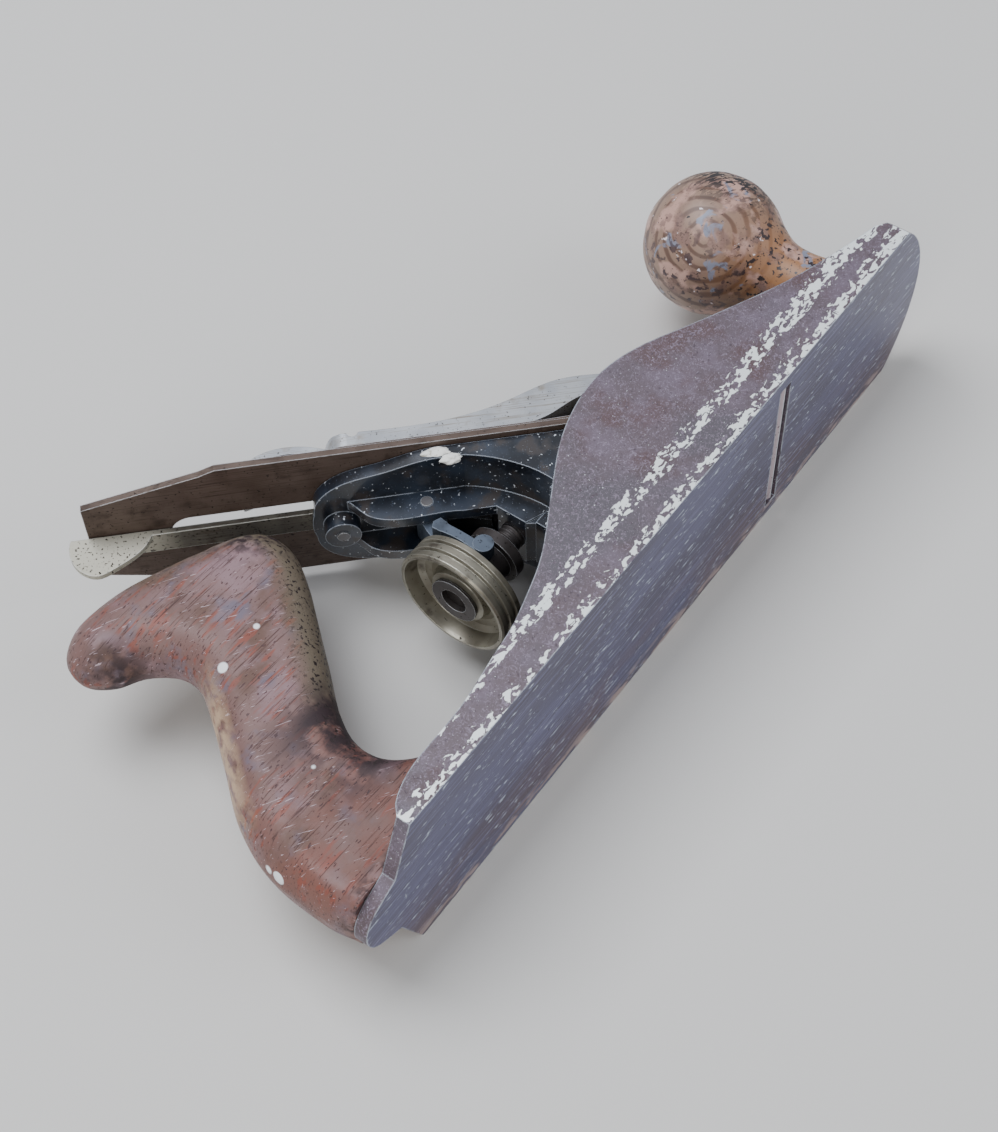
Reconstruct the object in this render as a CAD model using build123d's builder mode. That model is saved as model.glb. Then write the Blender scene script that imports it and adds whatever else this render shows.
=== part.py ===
from build123d import *
from math import atan, degrees, radians, sin, cos, pi, sqrt
import os

os.makedirs("parts", exist_ok=True)

# ------------------------------------------------------------------
# Short-soled iron bench plane with a pitched frog, screw adjusters,
# a turned front knob and a shaped rear handle.  All sizes in mm.
# Frame: +X towards the toe, +Y to the left, +Z up, sole face at z = 0,
# origin at the middle of the sole's length.
# ------------------------------------------------------------------

# ---- driving dimensions of the body
SOLE_LENGTH = 242.8
SOLE_WIDTH = 54.0
SOLE_THICK = 3.6
CHEEK_THICK = 3.2
CHEEK_HEIGHT = 38.6
SEAT_Z = 10.0
MOUTH_REAR_X = 46.25
MOUTH_FRONT_X = 51.1
MOUTH_WIDTH = 46.4

# ---- driving dimensions of the cutter assembly
BED_ANGLE = 45.0
BED_X = 46.75
CUTTER_WIDTH = 44.4
CUTTER_THICK = 1.9
CUTTER_LENGTH = 175.0
CUTTER_SLOT = 10.6
CUTTER_SLOT_TOP = 154.5
CUTTER_HOLE_S = 17.2
EDGE_ABOVE_SOLE = 0.25
BEVEL_ANGLE = 25.0
CAP_IRON_THICK = 1.5
CAP_IRON_LENGTH = 113.5
CAP_IRON_NARROW = 1.3
CAP_SCREW_S = 34.0
LEVER_SCREW_S = 54.0

# ---- driving dimensions of the adjusters
YOKE_S = 90.5
YOKE_OFF = -7.3
NUT_Z = 39.0
NUT_WHEEL_R = 15.75
LATERAL_S = 112.0
ROLLER_ARM = 9.0
CAM_S = 106.5
CAM_OFF = 8.0
CAM_WIDTH = 16.4

ADJ_Z = 6.8
SEAT_REAR_X = -10.2

# ---- driving dimensions of the handles
KNOB_X = 100.4
KNOB_R = 19.7
KNOB_BALL_Z = 52.5
TOTE_THICK = 21.0
TOTE_ROUND = 3.0
TOTE_BASE_X = -111.5
TOTE_SLOPE = 0.5

# ---- named clearances
CLEAR = 0.35        # between bodies that move past each other
TOUCH = 0.05        # between parts that are clamped together
RUN = 0.06          # radial, shaft turning in its hole
BED_GAP = 0.3       # cutter above the bed

HALF_L = SOLE_LENGTH / 2
HALF_W = SOLE_WIDTH / 2
INNER_W = HALF_W - CHEEK_THICK
C45 = cos(radians(BED_ANGLE))

# plane lying on the bed: x up the bed, z away from the bed
BED = Plane(origin=(BED_X, 0, 0), x_dir=(-C45, 0, C45), z_dir=(C45, 0, C45))
# side view of the bed: x up the bed, y away from the bed, z across to +Y
BEDSIDE = Plane(origin=(BED_X, 0, 0), x_dir=(-C45, 0, C45), z_dir=(0, 1, 0))
# upright side view: x forwards, y up, z across to -Y
SIDE = Plane.XZ


def bed_point(s, off):
    """Upright x, z of a point s up the bed and off away from it."""
    return (BED_X - C45 * s + C45 * off, C45 * s + C45 * off)


def bed_plane(off):
    """The bed plane moved away from the bed by off."""
    x, z = bed_point(0, off)
    return Plane(origin=(x, 0, z), x_dir=(-C45, 0, C45), z_dir=(C45, 0, C45))


def save(piece, name):
    """Label one sub-part and write its STEP file."""
    piece.part.label = name
    export_step(piece.part, "parts/" + name + ".step")


# ------------------------------------------------------------------
# Body casting: sole plate, two cheeks, frog seat and bosses
# ------------------------------------------------------------------
TOE_CORNER = HALF_L - 12.2
HEEL_CORNER = -HALF_L + 17.8
TONGUE_ROOT = -HALF_L + 11.1

cheek_line = [
    (HEEL_CORNER, 0),
    (HEEL_CORNER + 2.1, 5.6),
    (-94.0, 8.1),
    (-81.3, 8.6),
    (-69.2, 9.3),
    (-58.7, 10.9),
    (-51.1, 11.9),
    (-42.9, 14.0),
    (-31.7, 17.6),
    (-21.3, 22.9),
    (-10.8, 28.7),
    (0.1, 34.2),
    (11.2, 37.6),
    (23.3, CHEEK_HEIGHT),
    (36.1, 35.6),
    (49.4, 29.3),
    (63.0, 22.9),
    (77.1, 16.9),
    (85.9, 14.0),
    (95.8, 11.2),
    (106.5, 8.6),
    (TOE_CORNER, 6.6),
    (TOE_CORNER + 1.0, 0),
]

TOTE_DIR = Vector(TOTE_SLOPE, 0, 1).normalized()
TOTE_FOOT = Vector(TOTE_BASE_X, 0, SOLE_THICK)
ROD_R = 2.75


def tote_plane(along):
    """Plane square to the handle's rod, a distance along it from the plate."""
    p = TOTE_FOOT + TOTE_DIR * along
    return Plane(origin=p, x_dir=(0, 1, 0), z_dir=TOTE_DIR)


with BuildPart() as body_outline:
    with BuildSketch(Plane.XY) as plan:
        with BuildLine() as plan_line:
            ThreePointArc((TOE_CORNER, -HALF_W), (HALF_L, 0), (TOE_CORNER, HALF_W))
            Line((TOE_CORNER, HALF_W), (HEEL_CORNER, HALF_W))
            Line((HEEL_CORNER, HALF_W), (TONGUE_ROOT, 11.5))
            Spline(
                (TONGUE_ROOT, 11.5),
                (-HALF_L + 6.9, 9.4),
                (-HALF_L + 2.1, 6.0),
                (-HALF_L, 0),
                (-HALF_L + 2.1, -6.0),
                (-HALF_L + 6.9, -9.4),
                (TONGUE_ROOT, -11.5),
            )
            Line((TONGUE_ROOT, -11.5), (HEEL_CORNER, -HALF_W))
            Line((HEEL_CORNER, -HALF_W), (TOE_CORNER, -HALF_W))
        make_face()
    extrude(amount=60)

with BuildPart() as body_casting:
    add(body_outline.part)
    with BuildSketch(Plane.XY.offset(SOLE_THICK)) as hollow:
        with Locations((HALF_L, 0)):
            Rectangle(4 * SOLE_LENGTH, 2 * INNER_W)
    extrude(amount=60, mode=Mode.SUBTRACT)
    with BuildSketch(SIDE) as cheek_profile:
        with BuildLine() as cheek_edge:
            Spline(*cheek_line[1:21])
            Line(cheek_line[20], cheek_line[21])
            Line(cheek_line[21], (HALF_L, SOLE_THICK))
            Line((HALF_L, SOLE_THICK), (HALF_L, 0))
            Line((HALF_L, 0), (-HALF_L, 0))
            Line((-HALF_L, 0), (-HALF_L, SOLE_THICK))
            Line((-HALF_L, SOLE_THICK), (HEEL_CORNER, SOLE_THICK))
            Line((HEEL_CORNER, SOLE_THICK), cheek_line[1])
        make_face()
    extrude(amount=SOLE_WIDTH, both=True, mode=Mode.INTERSECT)
    # frog seat, and the full-width ramp behind the mouth
    with BuildSketch(SIDE) as seat_profile:
        with BuildLine() as seat_line:
            Polyline(
                (SEAT_REAR_X, 1.0),
                (SEAT_REAR_X, SEAT_Z),
                (MOUTH_REAR_X - SEAT_Z, SEAT_Z),
                (MOUTH_REAR_X, 0),
                (40.0, 0.0),
                (SEAT_REAR_X, 1.0),
            )
        make_face()
    extrude(amount=17.0, both=True)
    with BuildSketch(SIDE) as ramp_profile:
        with BuildLine() as ramp_line:
            Polyline(
                (30.0, 1.0),
                (30.0, 8.0),
                (MOUTH_REAR_X - 8.0, 8.0),
                (MOUTH_REAR_X, 0),
                (30.0, 0.0),
                (30.0, 1.0),
            )
        make_face()
    extrude(amount=INNER_W + 0.5, both=True)
    # low stiffening ribs across the plate
    for rib_x in (56.0, -30.0):
        with Locations((rib_x, 0, SOLE_THICK + 1.5)):
            Box(3.2, 2 * INNER_W + 1, 4.4)
    # knob boss and slanted handle boss
    with BuildSketch(Plane.XY.offset(1.0)) as knob_boss:
        with Locations((KNOB_X, 0)):
            Circle(8.0)
    extrude(amount=SOLE_THICK + 1.0)
    with BuildSketch(tote_plane(-1.5)) as tote_boss:
        Circle(5.2)
    extrude(amount=8.0)
    # the mouth, with its rear wall sloping like the bed
    with BuildSketch(SIDE) as mouth_profile:
        with BuildLine() as mouth_line:
            Polyline(
                (MOUTH_REAR_X + 3, -3),
                (MOUTH_FRONT_X, -3),
                (MOUTH_FRONT_X, 60),
                (MOUTH_REAR_X - 60, 60),
                (MOUTH_REAR_X + 3, -3),
            )
        make_face()
    extrude(amount=MOUTH_WIDTH / 2, both=True, mode=Mode.SUBTRACT)
    # tapped holes: frog screws, knob bolt, handle rod, frog adjusting screw
    with Locations(Plane.XY.offset(SEAT_Z)):
        with Locations((14.0, 10.0), (14.0, -10.0)):
            Hole(2.9 + TOUCH, depth=8.5)
    with Locations(Plane.XY.offset(SOLE_THICK + 2.0)):
        with Locations((KNOB_X, 0)):
            Hole(ROD_R + TOUCH, depth=4.4)
    with BuildSketch(tote_plane(-1.6)) as rod_thread:
        Circle(ROD_R + TOUCH)
    extrude(amount=12.0, mode=Mode.SUBTRACT)
    with BuildSketch(Plane(origin=(SEAT_REAR_X, 0, ADJ_Z), x_dir=(0, 1, 0), z_dir=(1, 0, 0))) as adj_hole:
        Circle(2.1 + RUN)
    extrude(amount=14.0, mode=Mode.SUBTRACT)

save(body_casting, "body_casting")

# ------------------------------------------------------------------
# Frog: pitched bed, two outer walls, arched back, two inner ribs
# ------------------------------------------------------------------
FROG_Z = SEAT_Z + 0.3
FROG_W = 20.5
FROG_WALL = 3.2
WALL_X = -6.6
COLUMN_X = -10.0
back_curve = [(83.0, -3.6), (75.7, -5.2), (68.7, -8.3), (63.5, -11.8), (59.6, -15.8)]
RIB_IN = 5.0
RIB_OUT = 8.2
STUD_FACE_X = -13.5

with BuildPart() as frog:
    # bed plate, narrowing to a rounded tongue
    with BuildSketch(bed_plane(-4.0)) as bed_face:
        with BuildLine() as bed_line:
            right = [(84.0, FROG_W), (92.0, 19.9), (101.0, 17.4), (110.0, 15.4), (116.0, 11.4), (118.6, 4.5)]
            Line((10.0, -FROG_W), (10.0, FROG_W))
            Line((10.0, FROG_W), right[0])
            Spline(*right)
            ThreePointArc(right[-1], (119.3, 0), (118.6, -4.5))
            Spline(*[(s, -y) for s, y in reversed(right)])
            Line((84.0, -FROG_W), (10.0, -FROG_W))
        make_face()
    extrude(amount=4.0 - BED_GAP)
    # outer walls, deeper towards the mouth
    for wall_y in (-FROG_W, FROG_W - FROG_WALL):
        with BuildSketch(BEDSIDE.offset(wall_y)) as wall_profile:
            with BuildLine() as wall_line:
                Spline(*back_curve)
                Polyline(
                    (59.6, -15.8),
                    (48.0, -29.0),
                    (22.0, -29.0),
                    (10.0, -2.0),
                    (83.0, -2.0),
                    (83.0, -3.6),
                )
            make_face()
        extrude(amount=FROG_WALL)
    # arched back shell between the outer walls
    with BuildSketch(BEDSIDE) as shell_profile:
        with BuildLine() as shell_line:
            Spline(*back_curve)
            Line((59.6, -15.8), (56.8, -13.6))
            Spline((56.8, -13.6), (60.8, -9.6), (66.0, -5.7), (72.0, -3.0))
            Polyline((72.0, -3.0), (83.0, -3.0), (83.0, -3.6))
        make_face()
    extrude(amount=FROG_W - FROG_WALL + 0.2, both=True)
    # inner ribs running down to the stud boss
    rear = [(STUD_FACE_X, 43.5), (STUD_FACE_X, 35.0), (-7.7, 32.7), (-7.7, 12.0), (-2.5, 12.0), (-2.5, 46.0)]
    for rib_y in (-RIB_OUT, RIB_IN):
        with BuildSketch(BEDSIDE.offset(rib_y)) as rib_profile:
            with BuildLine() as rib_line:
                Spline((110.5, -3.6), (108.4, -5.6), (105.3, -9.3), (100.6, -11.3), (92.0, -11.6), (82.0, -11.6))
                Polyline((82.0, -11.6), (72.0, -11.6), (60.0, -8.0), (60.0, -2.0), (110.5, -2.0), (110.5, -3.6))
            make_face()
        extrude(amount=RIB_OUT - RIB_IN)
        with BuildSketch(SIDE.offset(-rib_y - (RIB_OUT - RIB_IN))) as web_profile:
            with BuildLine() as web_line:
                Polyline(*rear, (-13.0, 52.0), rear[0])
            make_face()
        extrude(amount=RIB_OUT - RIB_IN)
    # stud boss between the ribs, rear wall and floor
    with BuildSketch(SIDE) as boss_profile:
        with BuildLine() as boss_line:
            Polyline(
                (STUD_FACE_X, 43.5), (STUD_FACE_X, 35.0), (-10.5, 31.0), (-6.0, 31.0),
                (-6.0, 45.0), (-11.0, 47.5), (STUD_FACE_X, 43.5),
            )
        make_face()
    extrude(amount=RIB_OUT - 0.5, both=True)
    with Locations((WALL_X, 0, (FROG_Z + 31.2) / 2)):
        Box(4.0, 2 * FROG_W - 1.0, 31.2 - FROG_Z)
    with Locations((COLUMN_X, 0, (FROG_Z + 33.0) / 2)):
        Box(4.0, 2 * RIB_OUT, 33.0 - FROG_Z)
    # cored windows low in the rear wall
    with Locations((WALL_X, 13.0, 17.2), (WALL_X, -13.0, 17.2)):
        Box(6.0, 7.0, 9.0, mode=Mode.SUBTRACT)
    with Locations((11.0, 0, FROG_Z + 2.1)):
        Box(44.0, 2 * FROG_W - 1.0, 4.2)
    # round boss under the tongue for the side lever's rivet
    with BuildSketch(bed_plane(-8.2)) as rivet_boss:
        with Locations((LATERAL_S, 0)):
            Circle(4.6)
    extrude(amount=5.0)
    # boss for the lever cap's screw
    with BuildSketch(bed_plane(-13.0)) as screw_boss:
        with Locations((LEVER_SCREW_S, 0)):
            Circle(6.2)
    extrude(amount=10.0)
    # everything below the seat and in front of the bed is cut off
    with Locations((10.0, 0, FROG_Z - 25)):
        Box(200, 100, 50, mode=Mode.SUBTRACT)
    with BuildSketch(bed_plane(-BED_GAP)) as above_bed:
        with Locations((60.0, 0)):
            Rectangle(200, 100)
    extrude(amount=40, mode=Mode.SUBTRACT)
    # slots for the yoke finger, the cap screw's head and the side lever
    with BuildSketch(bed_plane(-5.0)) as finger_slot:
        with Locations((YOKE_S, 0)):
            Rectangle(11.0, 6.6)
    extrude(amount=6.0, mode=Mode.SUBTRACT)
    with BuildSketch(bed_plane(-2.9)) as head_pocket:
        with Locations((CAP_SCREW_S, 0)):
            SlotCenterToCenter(2.4, 17.6)
    extrude(amount=4.0, mode=Mode.SUBTRACT)
    with BuildSketch(bed_plane(-2.3)) as lever_recess:
        with Locations((LATERAL_S - 1.0, 0)):
            Rectangle(28.0, 13.0)
        with Locations((LATERAL_S - ROLLER_ARM, 0)):
            Circle(7.4)
    extrude(amount=4.0, mode=Mode.SUBTRACT)
    with BuildSketch(bed_plane(-9.0)) as rivet_hole:
        with Locations((LATERAL_S, 0)):
            Circle(1.6 + TOUCH)
    extrude(amount=9.0, mode=Mode.SUBTRACT)
    with BuildSketch(bed_plane(-12.0)) as lever_screw_hole:
        with Locations((LEVER_SCREW_S, 0)):
            Circle(3.2 + TOUCH)
    extrude(amount=13.0, mode=Mode.SUBTRACT)
    # straight way down to each frog screw, and the slots they hold through
    with BuildSketch(Plane.XY.offset(FROG_Z + 4.2)) as access:
        with Locations((14.0, 10.0), (14.0, -10.0)):
            Circle(6.6)
    extrude(amount=40.0, mode=Mode.SUBTRACT)
    with BuildSketch(Plane.XY.offset(FROG_Z - 1)) as frog_slots:
        with Locations((13.6, 10.0), (13.6, -10.0)):
            SlotCenterToCenter(1.6, 6.6)
    extrude(amount=10.0, mode=Mode.SUBTRACT)
    # cross hole for the yoke pin and the tapped hole for the stud
    yx, yz = bed_point(YOKE_S, YOKE_OFF)
    with Locations(Location((yx, 0, yz), (90, 0, 0))):
        Cylinder(1.5 + TOUCH, 30, mode=Mode.SUBTRACT)
    with Locations(Location((STUD_FACE_X, 0, NUT_Z), (0, 90, 0))):
        Cylinder(3.6 + TOUCH, 14, mode=Mode.SUBTRACT)
    # tapped hole in the rear wall for the clip's screw
    with Locations(Location((COLUMN_X, 0, 21.0), (0, 90, 0))):
        Cylinder(2.0 + TOUCH, 6, mode=Mode.SUBTRACT)
save(frog, "frog")

# frog screws with their washers
with BuildPart() as frog_screws:
    with BuildSketch(Plane.XY.offset(2.0)) as frog_shank:
        with Locations((14.0, 10.0), (14.0, -10.0)):
            Circle(2.9)
    extrude(amount=FROG_Z + 4.2 + 1.65 - 2.0)
    with BuildSketch(Plane.XY.offset(FROG_Z + 4.2 + 1.6)) as frog_head:
        with Locations((14.0, 10.0), (14.0, -10.0)):
            Circle(5.2)
    extrude(amount=3.4)
    with BuildSketch(Plane.XY.offset(FROG_Z + 4.2 + 5.1)) as frog_slot:
        with Locations((14.0, 10.0), (14.0, -10.0)):
            Rectangle(12.0, 1.2)
    extrude(amount=-1.4, mode=Mode.SUBTRACT)
save(frog_screws, "frog_screws")

with BuildPart() as frog_washers:
    with BuildSketch(Plane.XY.offset(FROG_Z + 4.2 + 0.3)) as washer:
        with Locations((14.0, 10.0), (14.0, -10.0)):
            Circle(5.8)
            Circle(2.9 + TOUCH, mode=Mode.SUBTRACT)
    extrude(amount=1.25)
save(frog_washers, "frog_washers")

# frog adjusting screw: slotted head, neck gripped by the clip, thread
with BuildPart() as adj_screw:
    with BuildSketch(SIDE) as adj_profile:
        with BuildLine() as adj_line:
            Polyline(
                (-19.5, ADJ_Z), (-19.5, ADJ_Z + 2.9), (-14.0, ADJ_Z + 2.9), (-14.0, ADJ_Z + 1.5),
                (-11.7, ADJ_Z + 1.5), (-11.7, ADJ_Z + 2.1), (0.0, ADJ_Z + 2.1), (0.0, ADJ_Z),
                (-19.5, ADJ_Z),
            )
        make_face()
    revolve(axis=Axis((0, 0, ADJ_Z), (1, 0, 0)))
    with Locations((-19.5, 0, ADJ_Z)):
        Box(2.6, 8.0, 1.0, mode=Mode.SUBTRACT)
save(adj_screw, "frog_adjusting_screw")

# clip plate: screwed to the frog's rear wall, forked over the neck
with BuildPart() as frog_clip:
    with BuildSketch(Plane(origin=(-12.05 - 1.6, 0, 0), x_dir=(0, 1, 0), z_dir=(1, 0, 0))) as clip_face:
        with Locations((0, 14.9)):
            RectangleRounded(12.0, 21.0, 2.4)
        with Locations((0, 21.0)):
            Circle(2.4 + TOUCH, mode=Mode.SUBTRACT)
        with Locations((0, ADJ_Z)):
            Circle(1.5 + CLEAR, mode=Mode.SUBTRACT)
        with Locations((0, ADJ_Z - 2.0)):
            Rectangle(2 * (1.5 + CLEAR), 4.0, mode=Mode.SUBTRACT)
    extrude(amount=1.6)
save(frog_clip, "frog_clip")

with BuildPart() as clip_screw:
    with Locations(Location((-11.2, 0, 21.0), (0, 90, 0))):
        Cylinder(2.0, 5.0)
    with Locations(Location((-14.75, 0, 21.0), (0, 90, 0))):
        Cylinder(3.6, 2.1)
    with Locations((-15.8, 0, 21.0)):
        Box(1.6, 9.0, 1.0, mode=Mode.SUBTRACT)
save(clip_screw, "clip_screw")

# ------------------------------------------------------------------
# Cutter iron: tapered tail, long slot with its round hole near the edge
# ------------------------------------------------------------------
EDGE_S = EDGE_ABOVE_SOLE / C45 - CUTTER_THICK
BEVEL_LEN = CUTTER_THICK / sin(radians(BEVEL_ANGLE)) * cos(radians(BEVEL_ANGLE))

with BuildPart() as cutter:
    with BuildSketch(BEDSIDE) as cutter_side:
        with BuildLine() as cutter_side_line:
            Polyline(
                (EDGE_S, CUTTER_THICK),
                (EDGE_S + BEVEL_LEN, 0),
                (CUTTER_LENGTH, 0),
                (CUTTER_LENGTH, CUTTER_THICK),
                (EDGE_S, CUTTER_THICK),
            )
        make_face()
    extrude(amount=CUTTER_WIDTH / 2, both=True)
    with BuildSketch(bed_plane(-2.0)) as cutter_plan:
        with BuildLine() as cutter_plan_line:
            Polyline(
                (-10.0, -CUTTER_WIDTH / 2),
                (141.0, -CUTTER_WIDTH / 2),
                (145.0, -20.6),
                (CUTTER_LENGTH, -13.4),
                (CUTTER_LENGTH, 13.4),
                (145.0, 20.6),
                (141.0, CUTTER_WIDTH / 2),
                (-10.0, CUTTER_WIDTH / 2),
                (-10.0, -CUTTER_WIDTH / 2),
            )
        make_face()
    extrude(amount=8.0, mode=Mode.INTERSECT)
    with BuildSketch(bed_plane(-2.0)) as cutter_slot:
        with Locations(((CUTTER_HOLE_S + CUTTER_SLOT_TOP) / 2, 0)):
            SlotOverall(CUTTER_SLOT_TOP - CUTTER_HOLE_S, CUTTER_SLOT)
        with Locations((CUTTER_HOLE_S, 0)):
            Circle(8.2)
    extrude(amount=8.0, mode=Mode.SUBTRACT)
save(cutter, "cutter_iron")

# cap iron: flat plate with a sprung hump that meets the cutter near its edge
CAP_LO = CUTTER_THICK + TOUCH
CAP_HI = CAP_LO + CAP_IRON_THICK
CAP_HALF = CUTTER_WIDTH / 2 - 0.1
with BuildPart() as cap_iron:
    with BuildSketch(BEDSIDE) as cap_side:
        with BuildLine() as cap_side_line:
            Line((CAP_IRON_LENGTH, CAP_LO), (24.0, CAP_LO))
            Spline((24.0, CAP_LO), (14.0, CAP_LO + 1.8), (7.0, CAP_LO + 2.5), (2.4, CAP_LO + 1.4), (0.0, CAP_LO))
            Line((0.0, CAP_LO), (-0.5, CAP_LO))
            Spline((-0.5, CAP_LO), (2.4, CAP_HI + 1.9), (7.0, CAP_HI + 2.6), (14.0, CAP_HI + 1.9), (24.0, CAP_HI))
            Line((24.0, CAP_HI), (CAP_IRON_LENGTH, CAP_HI))
            Line((CAP_IRON_LENGTH, CAP_HI), (CAP_IRON_LENGTH, CAP_LO))
        make_face()
    extrude(amount=CAP_HALF, both=True)
    with BuildSketch(bed_plane(-2.0)) as cap_plan:
        with Locations((CAP_IRON_LENGTH / 2, 0)):
            RectangleRounded(CAP_IRON_LENGTH, 2 * (CAP_HALF - CAP_IRON_NARROW), 4.0)
        with BuildLine() as cap_plan_line:
            Polyline(
                (-5.0, -CAP_HALF), (28.0, -CAP_HALF), (60.0, CAP_IRON_NARROW - CAP_HALF),
                (60.0, CAP_HALF - CAP_IRON_NARROW), (28.0, CAP_HALF), (-5.0, CAP_HALF), (-5.0, -CAP_HALF),
            )
        make_face()
    extrude(amount=16.0, mode=Mode.INTERSECT)
    with BuildSketch(bed_plane(-2.0)) as cap_holes:
        with Locations((LEVER_SCREW_S, 0)):
            SlotCenterToCenter(8.0, 9.6)
        with Locations((YOKE_S, 0)):
            Rectangle(3.8, 9.6)
        with Locations((CAP_SCREW_S, 0)):
            Circle(3.4 + RUN)
    extrude(amount=16.0, mode=Mode.SUBTRACT)
save(cap_iron, "cap_iron")

# cap iron screw: broad thin head under the cutter, shank up into the cap iron
with BuildPart() as cap_screw:
    with BuildSketch(bed_plane(-2.4)) as cap_head:
        with Locations((CAP_SCREW_S, 0)):
            Circle(7.6)
    extrude(amount=2.4 - TOUCH)
    with BuildSketch(bed_plane(-1.0)) as cap_shank:
        with Locations((CAP_SCREW_S, 0)):
            Circle(3.4)
    extrude(amount=1.0 + CAP_HI - 0.1)
    with BuildSketch(bed_plane(-2.5)) as cap_slot:
        with Locations((CAP_SCREW_S, 0)):
            Rectangle(1.4, 18.0)
    extrude(amount=1.2, mode=Mode.SUBTRACT)
save(cap_screw, "cap_iron_screw")

# ------------------------------------------------------------------
# Lever cap: arched casting, keyhole, notch and ears for the cam lever
# ------------------------------------------------------------------
LCAP_W = 20.3
LCAP_LO = CAP_HI + CLEAR
SPRING_TOP = LCAP_LO + 0.95
KEY_S = LEVER_SCREW_S - 11.0
HEAD_OFF = 13.1
NOTCH_HALF = CAM_WIDTH / 2 + CLEAR
EAR_WIDE = 5.0
TIP_OFF = CAP_HI + 2.7 + CLEAR

with BuildPart() as lever_cap:
    with BuildSketch(BEDSIDE) as lever_side:
        with BuildLine() as lever_side_line:
            Spline(
                (9.8, TIP_OFF + 0.9), (12.0, 9.0), (18.0, 11.5), (30.0, 14.6), (42.8, 16.2), (51.0, 16.4),
                (56.5, 15.5), (64.0, 12.7), (73.6, 9.6), (84.0, 7.9), (94.0, 7.5), (110.6, 8.0),
            )
            ThreePointArc((110.6, 8.0), (113.2, 7.4), (114.0, 5.8))
            Line((114.0, 5.8), (114.0, LCAP_LO))
            Line((114.0, LCAP_LO), (62.0, LCAP_LO))
            Spline(
                (62.0, LCAP_LO), (56.5, 5.8), (50.0, 9.4), (43.0, 11.2), (32.0, 10.8), (20.0, 8.5),
                (13.0, 7.0), (10.0, TIP_OFF),
            )
            Line((10.0, TIP_OFF), (9.8, TIP_OFF + 0.9))
        make_face()
    extrude(amount=LCAP_W, both=True)
    with BuildSketch(bed_plane(0)) as lever_plan:
        with Locations((9.8 + 52.1, 0)):
            RectangleRounded(104.2, 2 * LCAP_W, 6.0)
        with Locations((30.0, 0)):
            Rectangle(44.0, 2 * LCAP_W)
    extrude(amount=30.0, mode=Mode.INTERSECT)
    # ears that carry the cam pin
    for ear_y in (-NOTCH_HALF - EAR_WIDE, NOTCH_HALF):
        with BuildSketch(BEDSIDE.offset(ear_y)) as ear:
            with Locations((CAM_S, CAM_OFF)):
                Circle(3.1)
            with Locations((CAM_S, CAM_OFF - 2.0)):
                Rectangle(6.2, 4.0)
        extrude(amount=EAR_WIDE)
    # notch for the lever, pocket for the flat spring
    with BuildSketch(bed_plane(0)) as notch:
        with Locations((CAM_S + 2.5, 0)):
            Rectangle(15.0, 2 * NOTCH_HALF)
    extrude(amount=30.0, mode=Mode.SUBTRACT)
    with BuildSketch(bed_plane(LCAP_LO - 1.0)) as spring_pocket:
        with Locations((96.0, 0)):
            Rectangle(40.0, 20.0)
    extrude(amount=SPRING_TOP + TOUCH - LCAP_LO + 1.0, mode=Mode.SUBTRACT)
    # keyhole: wide where the screw's head passes, narrow where it holds
    with BuildSketch(bed_plane(0)) as keyhole:
        with Locations((KEY_S, 0)):
            Circle(6.2 + CLEAR + 0.2)
        with Locations(((KEY_S + LEVER_SCREW_S) / 2, 0)):
            SlotCenterToCenter(11.0, 2 * (3.2 + CLEAR))
    extrude(amount=40.0, mode=Mode.SUBTRACT)
    with BuildSketch(bed_plane(HEAD_OFF - CLEAR)) as head_sink:
        with Locations(((KEY_S + LEVER_SCREW_S) / 2, 0)):
            SlotCenterToCenter(11.0, 2 * (6.2 + CLEAR + 0.2))
    extrude(amount=20.0, mode=Mode.SUBTRACT)
    # holes for the cam pin and the spring's rivet
    cx, cz = bed_point(CAM_S, CAM_OFF)
    with Locations(Location((cx, 0, cz), (90, 0, 0))):
        Cylinder(1.4 + TOUCH, 60, mode=Mode.SUBTRACT)
    with BuildSketch(bed_plane(0)) as spring_rivet_hole:
        with Locations((81.0, 0)):
            Circle(1.6 + TOUCH)
    extrude(amount=30.0, mode=Mode.SUBTRACT)
save(lever_cap, "lever_cap")

with BuildPart() as cap_spring:
    with BuildSketch(bed_plane(LCAP_LO)) as spring_face:
        with Locations((94.5, 0)):
            RectangleRounded(34.0, 16.0, 2.0)
        with Locations((81.0, 0)):
            Circle(1.6 + TOUCH, mode=Mode.SUBTRACT)
    extrude(amount=0.9)
save(cap_spring, "cap_spring")

with BuildPart() as spring_rivet:
    with BuildSketch(bed_plane(LCAP_LO + 0.05)) as rivet_shank:
        with Locations((81.0, 0)):
            Circle(1.6)
    extrude(amount=8.0 - LCAP_LO)
save(spring_rivet, "spring_rivet")

with BuildPart() as lever_screw:
    with BuildSketch(bed_plane(-11.5)) as lever_shank:
        with Locations((LEVER_SCREW_S, 0)):
            Circle(3.2)
    extrude(amount=11.5 + HEAD_OFF + 0.5)
    with BuildSketch(bed_plane(HEAD_OFF)) as lever_head:
        with Locations((LEVER_SCREW_S, 0)):
            Circle(6.2)
    extrude(amount=3.2, taper=8)
    with BuildSketch(bed_plane(HEAD_OFF + 3.3)) as lever_slot:
        with Locations((LEVER_SCREW_S, 0)):
            Rectangle(16.0, 1.3)
    extrude(amount=-1.5, mode=Mode.SUBTRACT)
save(lever_screw, "lever_cap_screw")

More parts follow.
